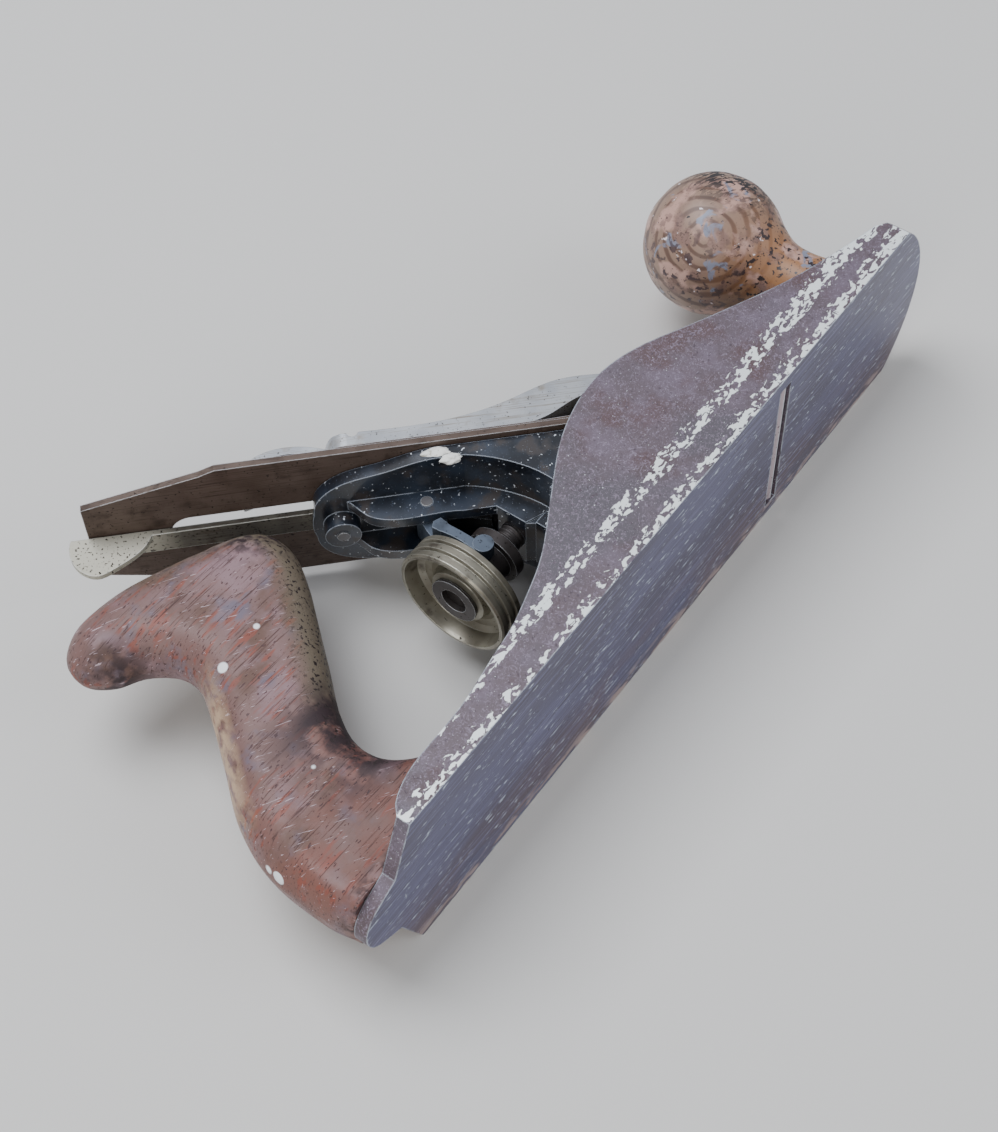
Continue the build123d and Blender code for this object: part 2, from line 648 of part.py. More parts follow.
# cam lever: eccentric hub under an arched thumb piece
with BuildPart() as cam_lever:
    with BuildSketch(BEDSIDE) as cam_side:
        with BuildLine() as cam_line:
            Spline(
                (106.5, 10.8), (111.0, 12.4), (116.9, 14.8), (123.0, 15.9), (128.9, 15.2), (134.7, 12.1),
                (137.5, 9.6),
            )
            Line((137.5, 9.6), (136.3, 8.3))
            Spline((136.3, 8.3), (133.4, 10.6), (128.2, 13.0), (122.8, 13.6), (117.6, 12.5), (112.4, 9.6), (107.5, 6.2))
            Line((107.5, 6.2), (106.5, 10.8))
        make_face()
        with Locations((CAM_S, CAM_OFF - 0.2)):
            Circle(2.6)
    extrude(amount=CAM_WIDTH / 2, both=True)
    with BuildSketch(bed_plane(0)) as thumb_plan:
        with Locations((112.0, 0)):
            Rectangle(20.0, 2 * CAM_WIDTH)
        with Locations((124.5, 0)):
            RectangleRounded(27.0, CAM_WIDTH, 6.5)
    extrude(amount=30.0, mode=Mode.INTERSECT)
    with Locations(Location((cx, 0, cz), (90, 0, 0))):
        Cylinder(1.4 + RUN, 60, mode=Mode.SUBTRACT)
save(cam_lever, "cam_lever")

with BuildPart() as cam_pin:
    with Locations(Location((cx, 0, cz), (90, 0, 0))):
        Cylinder(1.4, 2 * (NOTCH_HALF + EAR_WIDE) - 0.2)
save(cam_pin, "cam_pin")

# ------------------------------------------------------------------
# Depth adjuster: stud, hub with a groove, finger wheel, forked yoke
# ------------------------------------------------------------------
STUD_R = 3.6
STUD_END = 36.6
GROOVE_X = -25.5
GROOVE_HALF = 3.1
WHEEL_X = -30.6
with BuildPart() as depth_stud:
    with Locations(Location(((-7.0 - STUD_END) / 2, 0, NUT_Z), (0, 90, 0))):
        Cylinder(STUD_R, STUD_END - 7.0)
save(depth_stud, "depth_stud")

HUB_R = 5.6
with BuildPart() as depth_hub:
    with BuildSketch(SIDE) as hub_profile:
        with BuildLine() as hub_line:
            Polyline(
                (-19.4, NUT_Z + STUD_R + RUN), (-19.4, NUT_Z + 7.6),
                (GROOVE_X + GROOVE_HALF, NUT_Z + 7.6), (GROOVE_X + GROOVE_HALF, NUT_Z + HUB_R),
                (GROOVE_X - GROOVE_HALF, NUT_Z + HUB_R), (GROOVE_X - GROOVE_HALF, NUT_Z + 7.5),
                (WHEEL_X + 0.3, NUT_Z + 7.5), (WHEEL_X + 0.3, NUT_Z + HUB_R),
                (WHEEL_X - 6.9, NUT_Z + HUB_R), (WHEEL_X - 6.9, NUT_Z + 6.6),
                (WHEEL_X - 7.6, NUT_Z + 6.6), (WHEEL_X - 7.6, NUT_Z + STUD_R + RUN),
                (-19.4, NUT_Z + STUD_R + RUN),
            )
        make_face()
    revolve(axis=Axis((0, 0, NUT_Z), (1, 0, 0)))
save(depth_hub, "depth_hub")

# dished finger wheel with three raised rings on its rim
W = NUT_WHEEL_R
ring_edge = []
for ring in range(3):
    ring_x = WHEEL_X - 0.6 - 2.8 * ring
    ring_edge += [(ring_x, W - 0.9), (ring_x - 0.5, W), (ring_x - 1.9, W), (ring_x - 2.3, W - 0.9)]
wheel_edge = [(WHEEL_X, HUB_R + RUN), (WHEEL_X, 9.0)] + ring_edge[:-1] + [
    (WHEEL_X - 8.6, W - 0.5), (WHEEL_X - 8.6, W - 1.2), (WHEEL_X - 7.6, W - 1.5), (WHEEL_X - 4.4, W - 2.2),
    (WHEEL_X - 3.3, W - 3.6), (WHEEL_X - 3.0, 10.2), (WHEEL_X - 3.6, 8.6), (WHEEL_X - 6.0, 7.8),
    (WHEEL_X - 6.6, HUB_R + RUN), (WHEEL_X, HUB_R + RUN),
]
with BuildPart() as depth_wheel:
    with BuildSketch(SIDE) as wheel_profile:
        with BuildLine() as wheel_line:
            Polyline(*[(x, NUT_Z + r) for x, r in wheel_edge])
        make_face()
    revolve(axis=Axis((0, 0, NUT_Z), (1, 0, 0)))
save(depth_wheel, "depth_wheel")

# yoke: finger through the bed, hub between the ribs, two curved arms
# whose round pads sit in the hub's groove
PAD_R = 2.6
PAD_LONG = 3.8
ARM_OUT = 9.4
ARM_THICK = 2.4
with BuildPart() as yoke:
    with Locations(Location((yx, 0, yz), (90, 0, 0))):
        Cylinder(2.95, 2 * (RIB_IN - CLEAR))
    with BuildSketch(BEDSIDE) as finger_profile:
        with BuildLine() as finger_line:
            Polyline(
                (YOKE_S - 2.4, YOKE_OFF), (YOKE_S - 1.4, -1.0), (YOKE_S - 1.3, CAP_HI - 0.3),
                (YOKE_S + 1.3, CAP_HI - 0.3), (YOKE_S + 1.4, -1.0), (YOKE_S + 2.4, YOKE_OFF),
                (YOKE_S - 2.4, YOKE_OFF),
            )
        make_face()
    extrude(amount=2.5, both=True)
    with BuildSketch(SIDE) as stem_profile:
        with BuildLine() as stem_line:
            Polyline(
                (yx + 2.4, yz - 1.6), (yx + 1.0, yz - 5.0), (-24.6, 50.2), (-28.4, 49.9), (-28.6, 52.4),
                (-27.4, 55.6), (yx - 2.6, yz + 1.0), (yx + 2.4, yz - 1.6),
            )
        make_face()
    extrude(amount=RIB_IN - CLEAR, both=True)
    with BuildSketch(SIDE) as bridge_profile:
        with BuildLine() as bridge_line:
            Polyline((-28.4, 49.9), (-28.6, 52.4), (-27.0, 53.2), (-25.0, 52.4), (-25.4, 49.9), (-28.4, 49.9))
        make_face()
    extrude(amount=ARM_OUT, both=True)
    for arm_y in (-ARM_OUT, ARM_OUT - ARM_THICK):
        with BuildSketch(SIDE.offset(-arm_y - ARM_THICK)) as arm_profile:
            with BuildLine() as arm_line:
                Spline((-28.6, 52.4), (-28.3, 49.7), (-27.9, 46.7), (-27.9, 43.0), (GROOVE_X - PAD_R, NUT_Z))
                Line((GROOVE_X - PAD_R, NUT_Z), (GROOVE_X, NUT_Z))
                Spline((GROOVE_X, NUT_Z), (-25.4, 43.0), (-25.4, 46.7), (-25.5, 49.7), (-25.2, 52.0))
                Line((-25.2, 52.0), (-28.6, 52.4))
            make_face()
        extrude(amount=ARM_THICK)
    for pad_y in (-ARM_OUT - 0.5, ARM_OUT + 0.5 - PAD_LONG):
        with BuildSketch(SIDE.offset(-pad_y - PAD_LONG)) as pad:
            with Locations((GROOVE_X, NUT_Z)):
                Circle(PAD_R)
        extrude(amount=PAD_LONG)
    with Locations(Location((yx, 0, yz), (90, 0, 0))):
        Cylinder(1.5 + RUN, 40, mode=Mode.SUBTRACT)
save(yoke, "yoke")

with BuildPart() as yoke_pin:
    with Locations(Location((yx, 0, yz), (90, 0, 0))):
        Cylinder(1.5, 2 * RIB_OUT + 0.4)
save(yoke_pin, "yoke_pin")

# ------------------------------------------------------------------
# Side lever: flat strip under the cutter, folded thumb tab, roller
# ------------------------------------------------------------------
ROLLER_S = LATERAL_S - ROLLER_ARM
TAB_Y = 2.7
with BuildPart() as lateral_lever:
    with BuildSketch(bed_plane(-1.95)) as strip:
        with Locations((LATERAL_S + 28.6, -0.65)):
            Rectangle(67.0, 6.7)
        with Locations((LATERAL_S - 2.0, 0)):
            Rectangle(2 * ROLLER_ARM - 4.0, 9.4)
        with Locations((ROLLER_S, 0)):
            Circle(5.2)
        with Locations((LATERAL_S, 0)):
            Circle(1.6 + RUN, mode=Mode.SUBTRACT)
        with Locations((ROLLER_S, 0)):
            Circle(1.5 + TOUCH, mode=Mode.SUBTRACT)
    extrude(amount=1.55)
    with BuildSketch(BEDSIDE.offset(-TAB_Y)) as tab:
        with BuildLine() as tab_line:
            Line((179.4, -0.4), (158.8, -0.4))
            Spline(
                (158.8, -0.4), (160.9, -4.8), (168.7, -10.6), (173.4, -12.2), (176.8, -10.5), (179.4, -6.5),
                (179.9, -3.0), (179.4, -0.4),
            )
        make_face()
    extrude(amount=1.5)
    with BuildSketch(bed_plane(-1.95)) as tab_strip:
        with Locations((170.2, TAB_Y - 2.0)):
            Rectangle(18.0, 4.0)
    extrude(amount=1.55)
save(lateral_lever, "lateral_lever")

with BuildPart() as lateral_rivet:
    with BuildSketch(bed_plane(-8.6)) as rivet_body:
        with Locations((LATERAL_S, 0)):
            Circle(1.6)
    extrude(amount=8.1)
save(lateral_rivet, "lateral_rivet")

with BuildPart() as lateral_roller:
    with BuildSketch(bed_plane(0.0)) as roller_face:
        with Locations((ROLLER_S, 0)):
            Circle(CUTTER_SLOT / 2 - 0.32)
    extrude(amount=CUTTER_THICK - 0.1)
    with BuildSketch(bed_plane(-1.9)) as roller_stud:
        with Locations((ROLLER_S, 0)):
            Circle(1.5)
    extrude(amount=2.4)
save(lateral_roller, "lateral_roller")

# ------------------------------------------------------------------
# Front knob with its bolt and nut
# ------------------------------------------------------------------
HAND_Z = SOLE_THICK + TOUCH
with BuildPart() as knob:
    with BuildSketch(SIDE) as knob_profile:
        with BuildLine() as knob_line:
            Line((KNOB_X, HAND_Z), (KNOB_X + 15.2, HAND_Z))
            Spline(
                (KNOB_X + 15.2, HAND_Z), (KNOB_X + 16.0, 6.0), (KNOB_X + 14.2, 9.6), (KNOB_X + 11.6, 14.6),
                (KNOB_X + 9.9, 20.0), (KNOB_X + 9.3, 26.0), (KNOB_X + 9.9, 31.4), (KNOB_X + 12.4, 36.4),
                (KNOB_X + 16.6, 42.0), (KNOB_X + 19.1, 47.6), (KNOB_X + KNOB_R, KNOB_BALL_Z),
                (KNOB_X + 18.9, 58.4), (KNOB_X + 16.4, 63.6), (KNOB_X + 12.4, 67.9), (KNOB_X + 6.8, 71.0),
                (KNOB_X + 3.0, 71.9),
            )
            Line((KNOB_X + 3.0, 71.9), (KNOB_X, 71.9))
            Line((KNOB_X, 71.9), (KNOB_X, HAND_Z))
        make_face()
    revolve(axis=Axis((KNOB_X, 0, 0), (0, 0, 1)))
    with BuildSketch(Plane.XY) as knob_bore:
        with Locations((KNOB_X, 0)):
            Circle(ROD_R + 0.25)
    extrude(amount=90.0, mode=Mode.SUBTRACT)
    with BuildSketch(Plane.XY.offset(65.4)) as knob_sink:
        with Locations((KNOB_X, 0)):
            Circle(6.2)
    extrude(amount=20.0, mode=Mode.SUBTRACT)
    with BuildSketch(Plane.XY) as knob_foot_pocket:
        with Locations((KNOB_X, 0)):
            Circle(8.0 + TOUCH)
    extrude(amount=SOLE_THICK + 2.0 + TOUCH, mode=Mode.SUBTRACT)
save(knob, "front_knob")

with BuildPart() as knob_bolt:
    with BuildSketch(Plane.XY.offset(1.6)) as bolt_face:
        with Locations((KNOB_X, 0)):
            Circle(ROD_R)
    extrude(amount=66.0)
save(knob_bolt, "knob_bolt")

with BuildPart() as knob_nut:
    with BuildSketch(Plane.XY.offset(65.5)) as nut_face:
        with Locations((KNOB_X, 0)):
            Circle(6.0)
            Circle(ROD_R + TOUCH, mode=Mode.SUBTRACT)
    extrude(amount=4.6)
    with BuildSketch(Plane.XY.offset(68.0)) as nut_cap:
        with Locations((KNOB_X, 0)):
            Circle(6.0)
    extrude(amount=2.6, taper=18)
    with BuildSketch(Plane.XY.offset(70.7)) as nut_slot:
        with Locations((KNOB_X, 0)):
            Rectangle(14.0, 1.3)
    extrude(amount=-1.5, mode=Mode.SUBTRACT)
save(knob_nut, "knob_nut")

# ------------------------------------------------------------------
# Rear handle: sawn outline with well rounded edges
# ------------------------------------------------------------------
tote_edge = [
    (-121.0, HAND_Z), (-122.6, 11.9), (-121.8, 27.1), (-116.4, 40.8), (-106.6, 53.8), (-97.6, 66.0),
    (-93.4, 73.4), (-93.2, 80.4), (-97.6, 86.6), (-104.2, 90.6), (-108.3, 96.4), (-107.4, 102.6),
    (-103.0, 106.2), (-96.6, 107.7), (-85.3, 106.2), (-75.0, 102.6), (-64.7, 98.1), (-55.6, 93.2),
    (-50.6, 87.0), (-50.8, 78.6), (-55.6, 70.4), (-62.2, 62.2), (-71.4, 51.0), (-79.6, 41.2),
    (-84.2, 32.6), (-84.4, 24.4), (-80.0, 17.8), (-72.0, 13.4), (-62.0, 11.4), (-54.0, 9.6), (-51.0, 6.4),
    (-51.0, HAND_Z),
]
with BuildPart() as tote:
    with BuildSketch(SIDE) as tote_profile:
        with BuildLine() as tote_line:
            Spline(*tote_edge)
            Line(tote_edge[-1], tote_edge[0])
        make_face()
    extrude(amount=TOTE_THICK / 2, both=True)
    long_edges = tote.edges().filter_by(lambda e: abs(e.center().Y) > TOTE_THICK / 2 - 0.5 and e.length > 100)
    fillet(long_edges, TOTE_ROUND)
    with BuildSketch(tote_plane(-5.0)) as rod_bore:
        Circle(ROD_R + 0.25)
    extrude(amount=140.0, mode=Mode.SUBTRACT)
    with BuildSketch(tote_plane(97.0)) as tote_sink:
        Circle(6.2)
    extrude(amount=30.0, mode=Mode.SUBTRACT)
    with BuildSketch(tote_plane(-8.0)) as boss_pocket:
        Circle(5.2 + TOUCH)
    extrude(amount=8.0 + 6.5 + TOUCH, mode=Mode.SUBTRACT)
save(tote, "rear_handle")

with BuildPart() as tote_rod:
    with BuildSketch(tote_plane(-1.5)) as tote_rod_face:
        Circle(ROD_R)
    extrude(amount=101.0)
save(tote_rod, "handle_rod")

with BuildPart() as tote_nut:
    with BuildSketch(tote_plane(97.05)) as tote_nut_face:
        Circle(6.0)
        Circle(ROD_R + TOUCH, mode=Mode.SUBTRACT)
    extrude(amount=3.6)
    with BuildSketch(tote_plane(99.6)) as tote_nut_cap:
        Circle(6.0)
    extrude(amount=2.4, taper=18)
    with BuildSketch(tote_plane(102.1)) as tote_nut_slot:
        Rectangle(14.0, 1.3)
    extrude(amount=-1.4, mode=Mode.SUBTRACT)
save(tote_nut, "handle_nut")
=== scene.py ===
# %% [markdown]
# # An old iron bench plane
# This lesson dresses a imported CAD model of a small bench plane: an iron body with two cheeks, a pitched
# frog that carries the cutter, screw and lever adjusters, a turned front knob and a shaped rear handle.
# The CAD model is the fixed frame. Every piece made here sits in it, in metres, with the sole at z = 0.

# %% Load the frame
import math

import bmesh
import bpy
import numpy as np
from mathutils import Matrix, Vector, noise
from mathutils.geometry import delaunay_2d_cdt


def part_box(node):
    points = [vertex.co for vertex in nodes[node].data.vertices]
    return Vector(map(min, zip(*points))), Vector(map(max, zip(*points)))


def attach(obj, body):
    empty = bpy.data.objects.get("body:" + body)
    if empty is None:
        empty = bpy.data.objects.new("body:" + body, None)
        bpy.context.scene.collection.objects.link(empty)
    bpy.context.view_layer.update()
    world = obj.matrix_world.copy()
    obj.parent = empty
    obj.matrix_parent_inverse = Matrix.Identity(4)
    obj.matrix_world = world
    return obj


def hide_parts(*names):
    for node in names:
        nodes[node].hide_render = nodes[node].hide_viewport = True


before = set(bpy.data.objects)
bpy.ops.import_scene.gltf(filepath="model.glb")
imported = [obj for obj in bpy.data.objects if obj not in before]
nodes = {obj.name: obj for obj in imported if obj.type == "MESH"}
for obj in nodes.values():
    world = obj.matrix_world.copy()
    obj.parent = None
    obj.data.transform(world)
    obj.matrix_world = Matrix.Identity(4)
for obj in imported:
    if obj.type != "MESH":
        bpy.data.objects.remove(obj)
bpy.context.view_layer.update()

MM = 0.001
print("pieces in the frame:", len(nodes))

# %% [markdown]
# ## Small helpers
# Paint charts and screens give colours as sRGB hex, but a shader works in linear light, so one function
# turns the one into the other. A second one adds a shader node with its settings and links, so that each
# material below reads as a short list of what it is made of.

# %% Helpers for colours and nodes


def linear(code):
    """An sRGB hex colour as a linear red, green, blue, alpha tuple."""
    out = []
    for i in (1, 3, 5):
        v = int(code[i:i + 2], 16) / 255
        out.append(v / 12.92 if v <= 0.04045 else ((v + 0.055) / 1.055) ** 2.4)
    return (*out, 1.0)


def add(tree, kind, settings=None, links=None):
    """Adds one shader node. settings: attribute or socket values; links: socket to output socket."""
    n = tree.nodes.new("ShaderNode" + kind)
    for key, value in (settings or {}).items():
        if isinstance(key, str) and hasattr(n, key) and key not in n.inputs:
            setattr(n, key, value)
        else:
            n.inputs[key].default_value = value
    for key, source in (links or {}).items():
        tree.links.new(source, n.inputs[key])
    return n


def start_material(name, rough, metal=0.0, coat=0.0, coat_rough=0.1):
    """A material with a Principled shader and object coordinates ready to use."""
    mat = bpy.data.materials.new(name)
    mat.use_nodes = True
    tree = mat.node_tree
    shader = tree.nodes["Principled BSDF"]
    shader.inputs["Roughness"].default_value = rough
    shader.inputs["Metallic"].default_value = metal
    shader.inputs["Coat Weight"].default_value = coat
    shader.inputs["Coat Roughness"].default_value = coat_rough
    coords = tree.nodes.new("ShaderNodeTexCoord")
    return mat, tree, shader, coords


def paint(material, *node_names):
    """Gives these CAD nodes one finish."""
    for node_name in node_names:
        mesh = nodes[node_name].data
        mesh.materials.clear()
        mesh.materials.append(material)


print("red test:", [round(v, 3) for v in linear("#ff0000")])

# %% [markdown]
# ## Masks for wear
# Age shows as patches with edges: worn spots, stains, scratches, grain. Each is a mask from 0 to 1. Noise
# in real millimetres, stretched along the way the surface was rubbed or the grain runs, and cut between
# two levels, gives nearly all of them. A place along an axis limits a mask to a zone, and a rounded normal
# that differs from the true one finds the sharp edges, where hands and wood rub first. Painting masks by
# hand or from images was the other way, but these keep their scale on any view and any shape.

# %% Helpers for masks and layers


def patches(tree, coords, size, low, high, length=(1, 1, 1), turn=0.0, detail=4.0, warp=0.0, seed=0,
            within=None):
    """Spots of about size mm where noise rises past low to high; length stretches them along each axis."""
    place = add(tree, "Mapping", {
        "vector_type": "TEXTURE", "Location": (seed * 0.013, seed * 0.017, seed * 0.011),
        "Rotation": (0, math.radians(turn), 0), "Scale": [size * MM * k for k in length],
    }, {"Vector": coords.outputs["Object"]})
    grain = add(tree, "TexNoise", {"Scale": 1.0, "Detail": detail, "Distortion": warp},
                {"Vector": place.outputs[0]})
    mask = add(tree, "MapRange", {"interpolation_type": "SMOOTHSTEP", "From Min": low, "From Max": high},
               {"Value": grain.outputs["Fac"]}).outputs[0]
    return keep(tree, mask, within)


def keep(tree, mask, within):
    """The part of a mask that lies within another."""
    if within is None:
        return mask
    return add(tree, "Math", {"operation": "MULTIPLY"}, {0: mask, 1: within}).outputs[0]


def zone(tree, coords, axis, start, end, source="Object", within=None):
    """0 before start mm and 1 past end mm along an axis; end may lie below start."""
    split = add(tree, "SeparateXYZ", {}, {0: coords.outputs[source]})
    unit = MM if source == "Object" else 1.0
    mask = add(tree, "MapRange", {"From Min": start * unit, "From Max": end * unit},
               {"Value": split.outputs[axis]})
    return keep(tree, mask.outputs[0], within)


def near(tree, coords, place, radius, soft, within=None):
    """1 within radius mm of a point, fading over soft mm."""
    away = add(tree, "VectorMath", {"operation": "DISTANCE", 1: [v * MM for v in place]},
               {0: coords.outputs["Object"]})
    mask = add(tree, "MapRange", {"From Min": (radius + soft) * MM, "From Max": radius * MM},
               {"Value": away.outputs["Value"]})
    return keep(tree, mask.outputs[0], within)


def edges(tree, radius, low=0.02, high=0.12, within=None):
    """1 along edges, where a normal rounded over radius mm leans away from the true one."""
    rounded = add(tree, "Bevel", {"samples": 4, "Radius": radius * MM})
    true = add(tree, "NewGeometry")
    same = add(tree, "VectorMath", {"operation": "DOT_PRODUCT"},
               {0: rounded.outputs[0], 1: true.outputs["Normal"]})
    mask = add(tree, "MapRange", {"From Min": 1 - low, "From Max": 1 - high},
               {"Value": same.outputs["Value"]})
    return keep(tree, mask.outputs[0], within)


def layers(tree, first, *coats):
    """A colour or grey level under others, each shown where its mask is high."""
    below = first
    for value, mask in coats:
        mix = add(tree, "Mix", {"data_type": "RGBA"}, {0: mask})
        for socket, tone in ((6, below), (7, value)):
            if isinstance(tone, str):
                mix.inputs[socket].default_value = linear(tone)
            elif isinstance(tone, (int, float)):
                mix.inputs[socket].default_value = (tone, tone, tone, 1)
            else:
                tree.links.new(tone, mix.inputs[socket])
        below = mix.outputs[2]
    return below


def finish_surface(tree, shader, colour, rough, height, relief=0.1, edge=0.35):
    """Links colour, roughness and relief in mm to the shader, over edges rounded by edge mm."""
    tree.links.new(colour, shader.inputs["Base Color"])
    tree.links.new(rough, shader.inputs["Roughness"])
    rounded = add(tree, "Bevel", {"samples": 4, "Radius": edge * MM})
    bump = add(tree, "Bump", {"Distance": relief * MM, "Strength": 1.0},
               {"Height": height, "Normal": rounded.outputs[0]})
    tree.links.new(bump.outputs[0], shader.inputs["Normal"])


print("wear masks ready")

# %% [markdown]
# ## Camera
# The plane lies on its left cheek, so the camera looks at the right cheek and up at the sole. A distance,
# a direction and an upward vector place it. A focal length of about 63 mm on a 36 mm sensor is a short
# telephoto, which keeps the cheeks nearly parallel.

# %% Camera
CAMERA_AT = Vector((-0.24902, -0.39965, -0.13995))
CAMERA_RIGHT = Vector((0.59039, 0.02213, -0.80682))
CAMERA_UP = Vector((0.66378, -0.58200, 0.46976))
CAMERA_LENS = 63.28

cam_data = bpy.data.cameras.new("photo camera")
cam_data.lens = CAMERA_LENS
cam_data.sensor_width = 36.0
cam_data.sensor_fit = "AUTO"
cam_data.clip_start = 0.01
camera = bpy.data.objects.new("photo camera", cam_data)
bpy.context.scene.collection.objects.link(camera)
right = CAMERA_RIGHT.normalized()
up = (CAMERA_UP - right * CAMERA_UP.dot(right)).normalized()
back = right.cross(up)
camera.matrix_world = Matrix((
    (right.x, up.x, back.x, CAMERA_AT.x),
    (right.y, up.y, back.y, CAMERA_AT.y),
    (right.z, up.z, back.z, CAMERA_AT.z),
    (0, 0, 0, 1),
))
bpy.context.scene.camera = camera
print("camera distance to the frame's origin, m:", round(CAMERA_AT.length, 3))

# %% [markdown]
# ## Floor and light
# The plane rests on its left cheek, so the pale table top is the plane just beyond that cheek. A second
# one lies under the sole for the views where the plane stands upright. Each is seen from its front only:
# from behind it is clear, so it never hides the object. Large soft lights stand in for an overcast sky.

# %% Floor and lights
CHEEK_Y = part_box("body_casting")[1][1]


def pale_floor(name):
    """A matt off-white sheet that is clear from behind."""
    mat, tree, shader, _ = start_material(name, 0.85)
    shader.inputs["Specular IOR Level"].default_value = 0.2
    shader.inputs["Base Color"].default_value = linear("#d9d8d4")
    side = add(tree, "NewGeometry")
    clear = add(tree, "BsdfTransparent")
    mix = add(tree, "MixShader", {},
              {0: side.outputs["Backfacing"], 1: shader.outputs[0], 2: clear.outputs[0]})
    tree.links.new(mix.outputs[0], tree.nodes["Material Output"].inputs["Surface"])
    return mat


def add_sheet(name, corners, only_camera):
    """A large flat sheet with its front on the side its corners turn anticlockwise."""
    mesh = bpy.data.meshes.new(name)
    mesh.from_pydata(corners, [], [(0, 1, 2, 3)])
    mesh.materials.append(pale_floor(name + " matt paint"))
    sheet = bpy.data.objects.new(name, mesh)
    bpy.context.scene.collection.objects.link(sheet)
    sheet.visible_shadow = False
    if only_camera:
        sheet.visible_diffuse = False
        sheet.visible_glossy = False
        sheet.visible_transmission = False


REACH = 4.0
wall_y = CHEEK_Y + 0.0003      # each sheet stands a hair off the face that rests on it
floor_z = -0.0004
add_sheet("table_sheet", [
    (-REACH, wall_y, -REACH), (REACH, wall_y, -REACH), (REACH, wall_y, REACH), (-REACH, wall_y, REACH),
], False)
add_sheet("bench_sheet", [
    (-REACH, -REACH, floor_z), (REACH, -REACH, floor_z), (REACH, REACH, floor_z), (-REACH, REACH, floor_z),
], True)


def add_light(name, at, target, size, power, colour="#ffffff"):
    """A square area light that looks at a point."""
    data = bpy.data.lights.new(name, "AREA")
    data.shape = "SQUARE"
    data.size = size
    data.energy = power
    data.color = linear(colour)[:3]
    lamp = bpy.data.objects.new(name, data)
    lamp.location = at
    lamp.rotation_euler = (Vector(target) - Vector(at)).to_track_quat("-Z", "Y").to_euler()
    bpy.context.scene.collection.objects.link(lamp)


add_light("sky light", (-0.10, -1.30, 0.55), (0, 0, 0.04), 0.9, 20.0, "#f6f8ff")
add_light("side light", (-1.10, -0.75, -0.35), (0, 0, 0.03), 0.7, 6.0, "#fffaf2")
add_light("low light", (0.45, -0.80, -1.05), (0, 0, 0.03), 0.8, 4.5, "#f4f7ff")
add_light("far side light", (0.2, 1.2, 0.9), (0, 0, 0.04), 1.0, 5.0, "#ffffff")
world = bpy.data.worlds.new("soft studio")
world.use_nodes = True
world.node_tree.nodes["Background"].inputs[0].default_value = linear("#dfe4ee")
world.node_tree.nodes["Background"].inputs[1].default_value = 0.48
bpy.context.scene.world = world
print("table sheet at y =", round(wall_y, 4))

# %% [markdown]
# ## Rear handle
# A plane's handle is sawn from a board and then rasped until it fills the palm, so its section is nearly
# an oval with a flat foot. The CAD handle is a slab with small rounds. Subdividing a cage, or carving with
# booleans, would need many hand-placed loops. Here the sawn outline is filled with points, and each point
# is raised by how far it lies from the outline, which gives the rasped section everywhere at once.

# %% Handle outline
HAND_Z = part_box("rear_handle")[0][2] / MM
OUTLINE = [
    (-121.0, HAND_Z), (-122.6, 11.9), (-121.8, 27.1), (-116.4, 40.8), (-106.6, 53.8), (-97.6, 66.0),
    (-93.4, 73.4), (-93.2, 80.4), (-97.6, 86.6), (-104.2, 90.6), (-108.3, 96.4), (-107.4, 102.6),
    (-103.0, 106.2), (-96.6, 107.7), (-85.3, 106.2), (-75.0, 102.6), (-64.7, 98.1), (-55.6, 93.2),
    (-50.6, 87.0), (-50.8, 78.6), (-55.6, 70.4), (-62.2, 62.2), (-71.4, 51.0), (-79.6, 41.2),
    (-84.2, 32.6), (-84.4, 24.4), (-80.0, 17.8), (-72.0, 13.4), (-62.0, 11.4), (-54.0, 9.6), (-51.0, 6.4),
    (-51.0, HAND_Z),
]


def smooth_line(points, steps):
    """Points along a curve through the given ones, steps to each span."""
    p = np.array(points, float)
    p = np.vstack([2 * p[0] - p[1], p, 2 * p[-1] - p[-2]])
    t = np.linspace(0, 1, steps, endpoint=False)[:, None]
    out = []
    for a, b, c, d in zip(p[:-3], p[1:-2], p[2:-1], p[3:]):
        out.append(0.5 * (2 * b + (c - a) * t + (2 * a - 5 * b + 4 * c - d) * t**2
                          + (3 * b - a - 3 * c + d) * t**3))
    return np.vstack(out + [p[-2]])


outline = smooth_line(OUTLINE, 8)
print("handle outline points:", len(outline))

# %% Rasp the handle
RING_DEPTHS = (0.15, 0.5, 1.1, 2.0, 3.2)      # rings of points, mm in from the outline
FIELD_STEP = 1.5                              # mm between the points of the even field
FIELD_GAP = 3.9                               # the field starts this far in, mm


def gap_to_outline(points):
    """Each point's distance to the curved outline; the flat foot isn't counted."""
    a, b = outline[:-1], outline[1:]
    ab = b - a
    ap = points[:, None, :] - a[None]
    t = np.clip((ap * ab).sum(2) / (ab * ab).sum(1), 0, 1)
    return np.linalg.norm(ap - t[:, :, None] * ab, axis=2).min(1)


def inside_outline(points):
    """Which points lie inside the closed outline."""
    x, z = points[:, 0][:, None], points[:, 1][:, None]
    a, b = outline, np.roll(outline, -1, axis=0)
    crosses = (a[:, 1] > z) != (b[:, 1] > z)
    rise = np.where(b[:, 1] == a[:, 1], 1e-9, b[:, 1] - a[:, 1])
    at = a[:, 0] + (z - a[:, 1]) / rise * (b[:, 0] - a[:, 0])
    return (crosses & (x < at)).sum(1) % 2 == 1


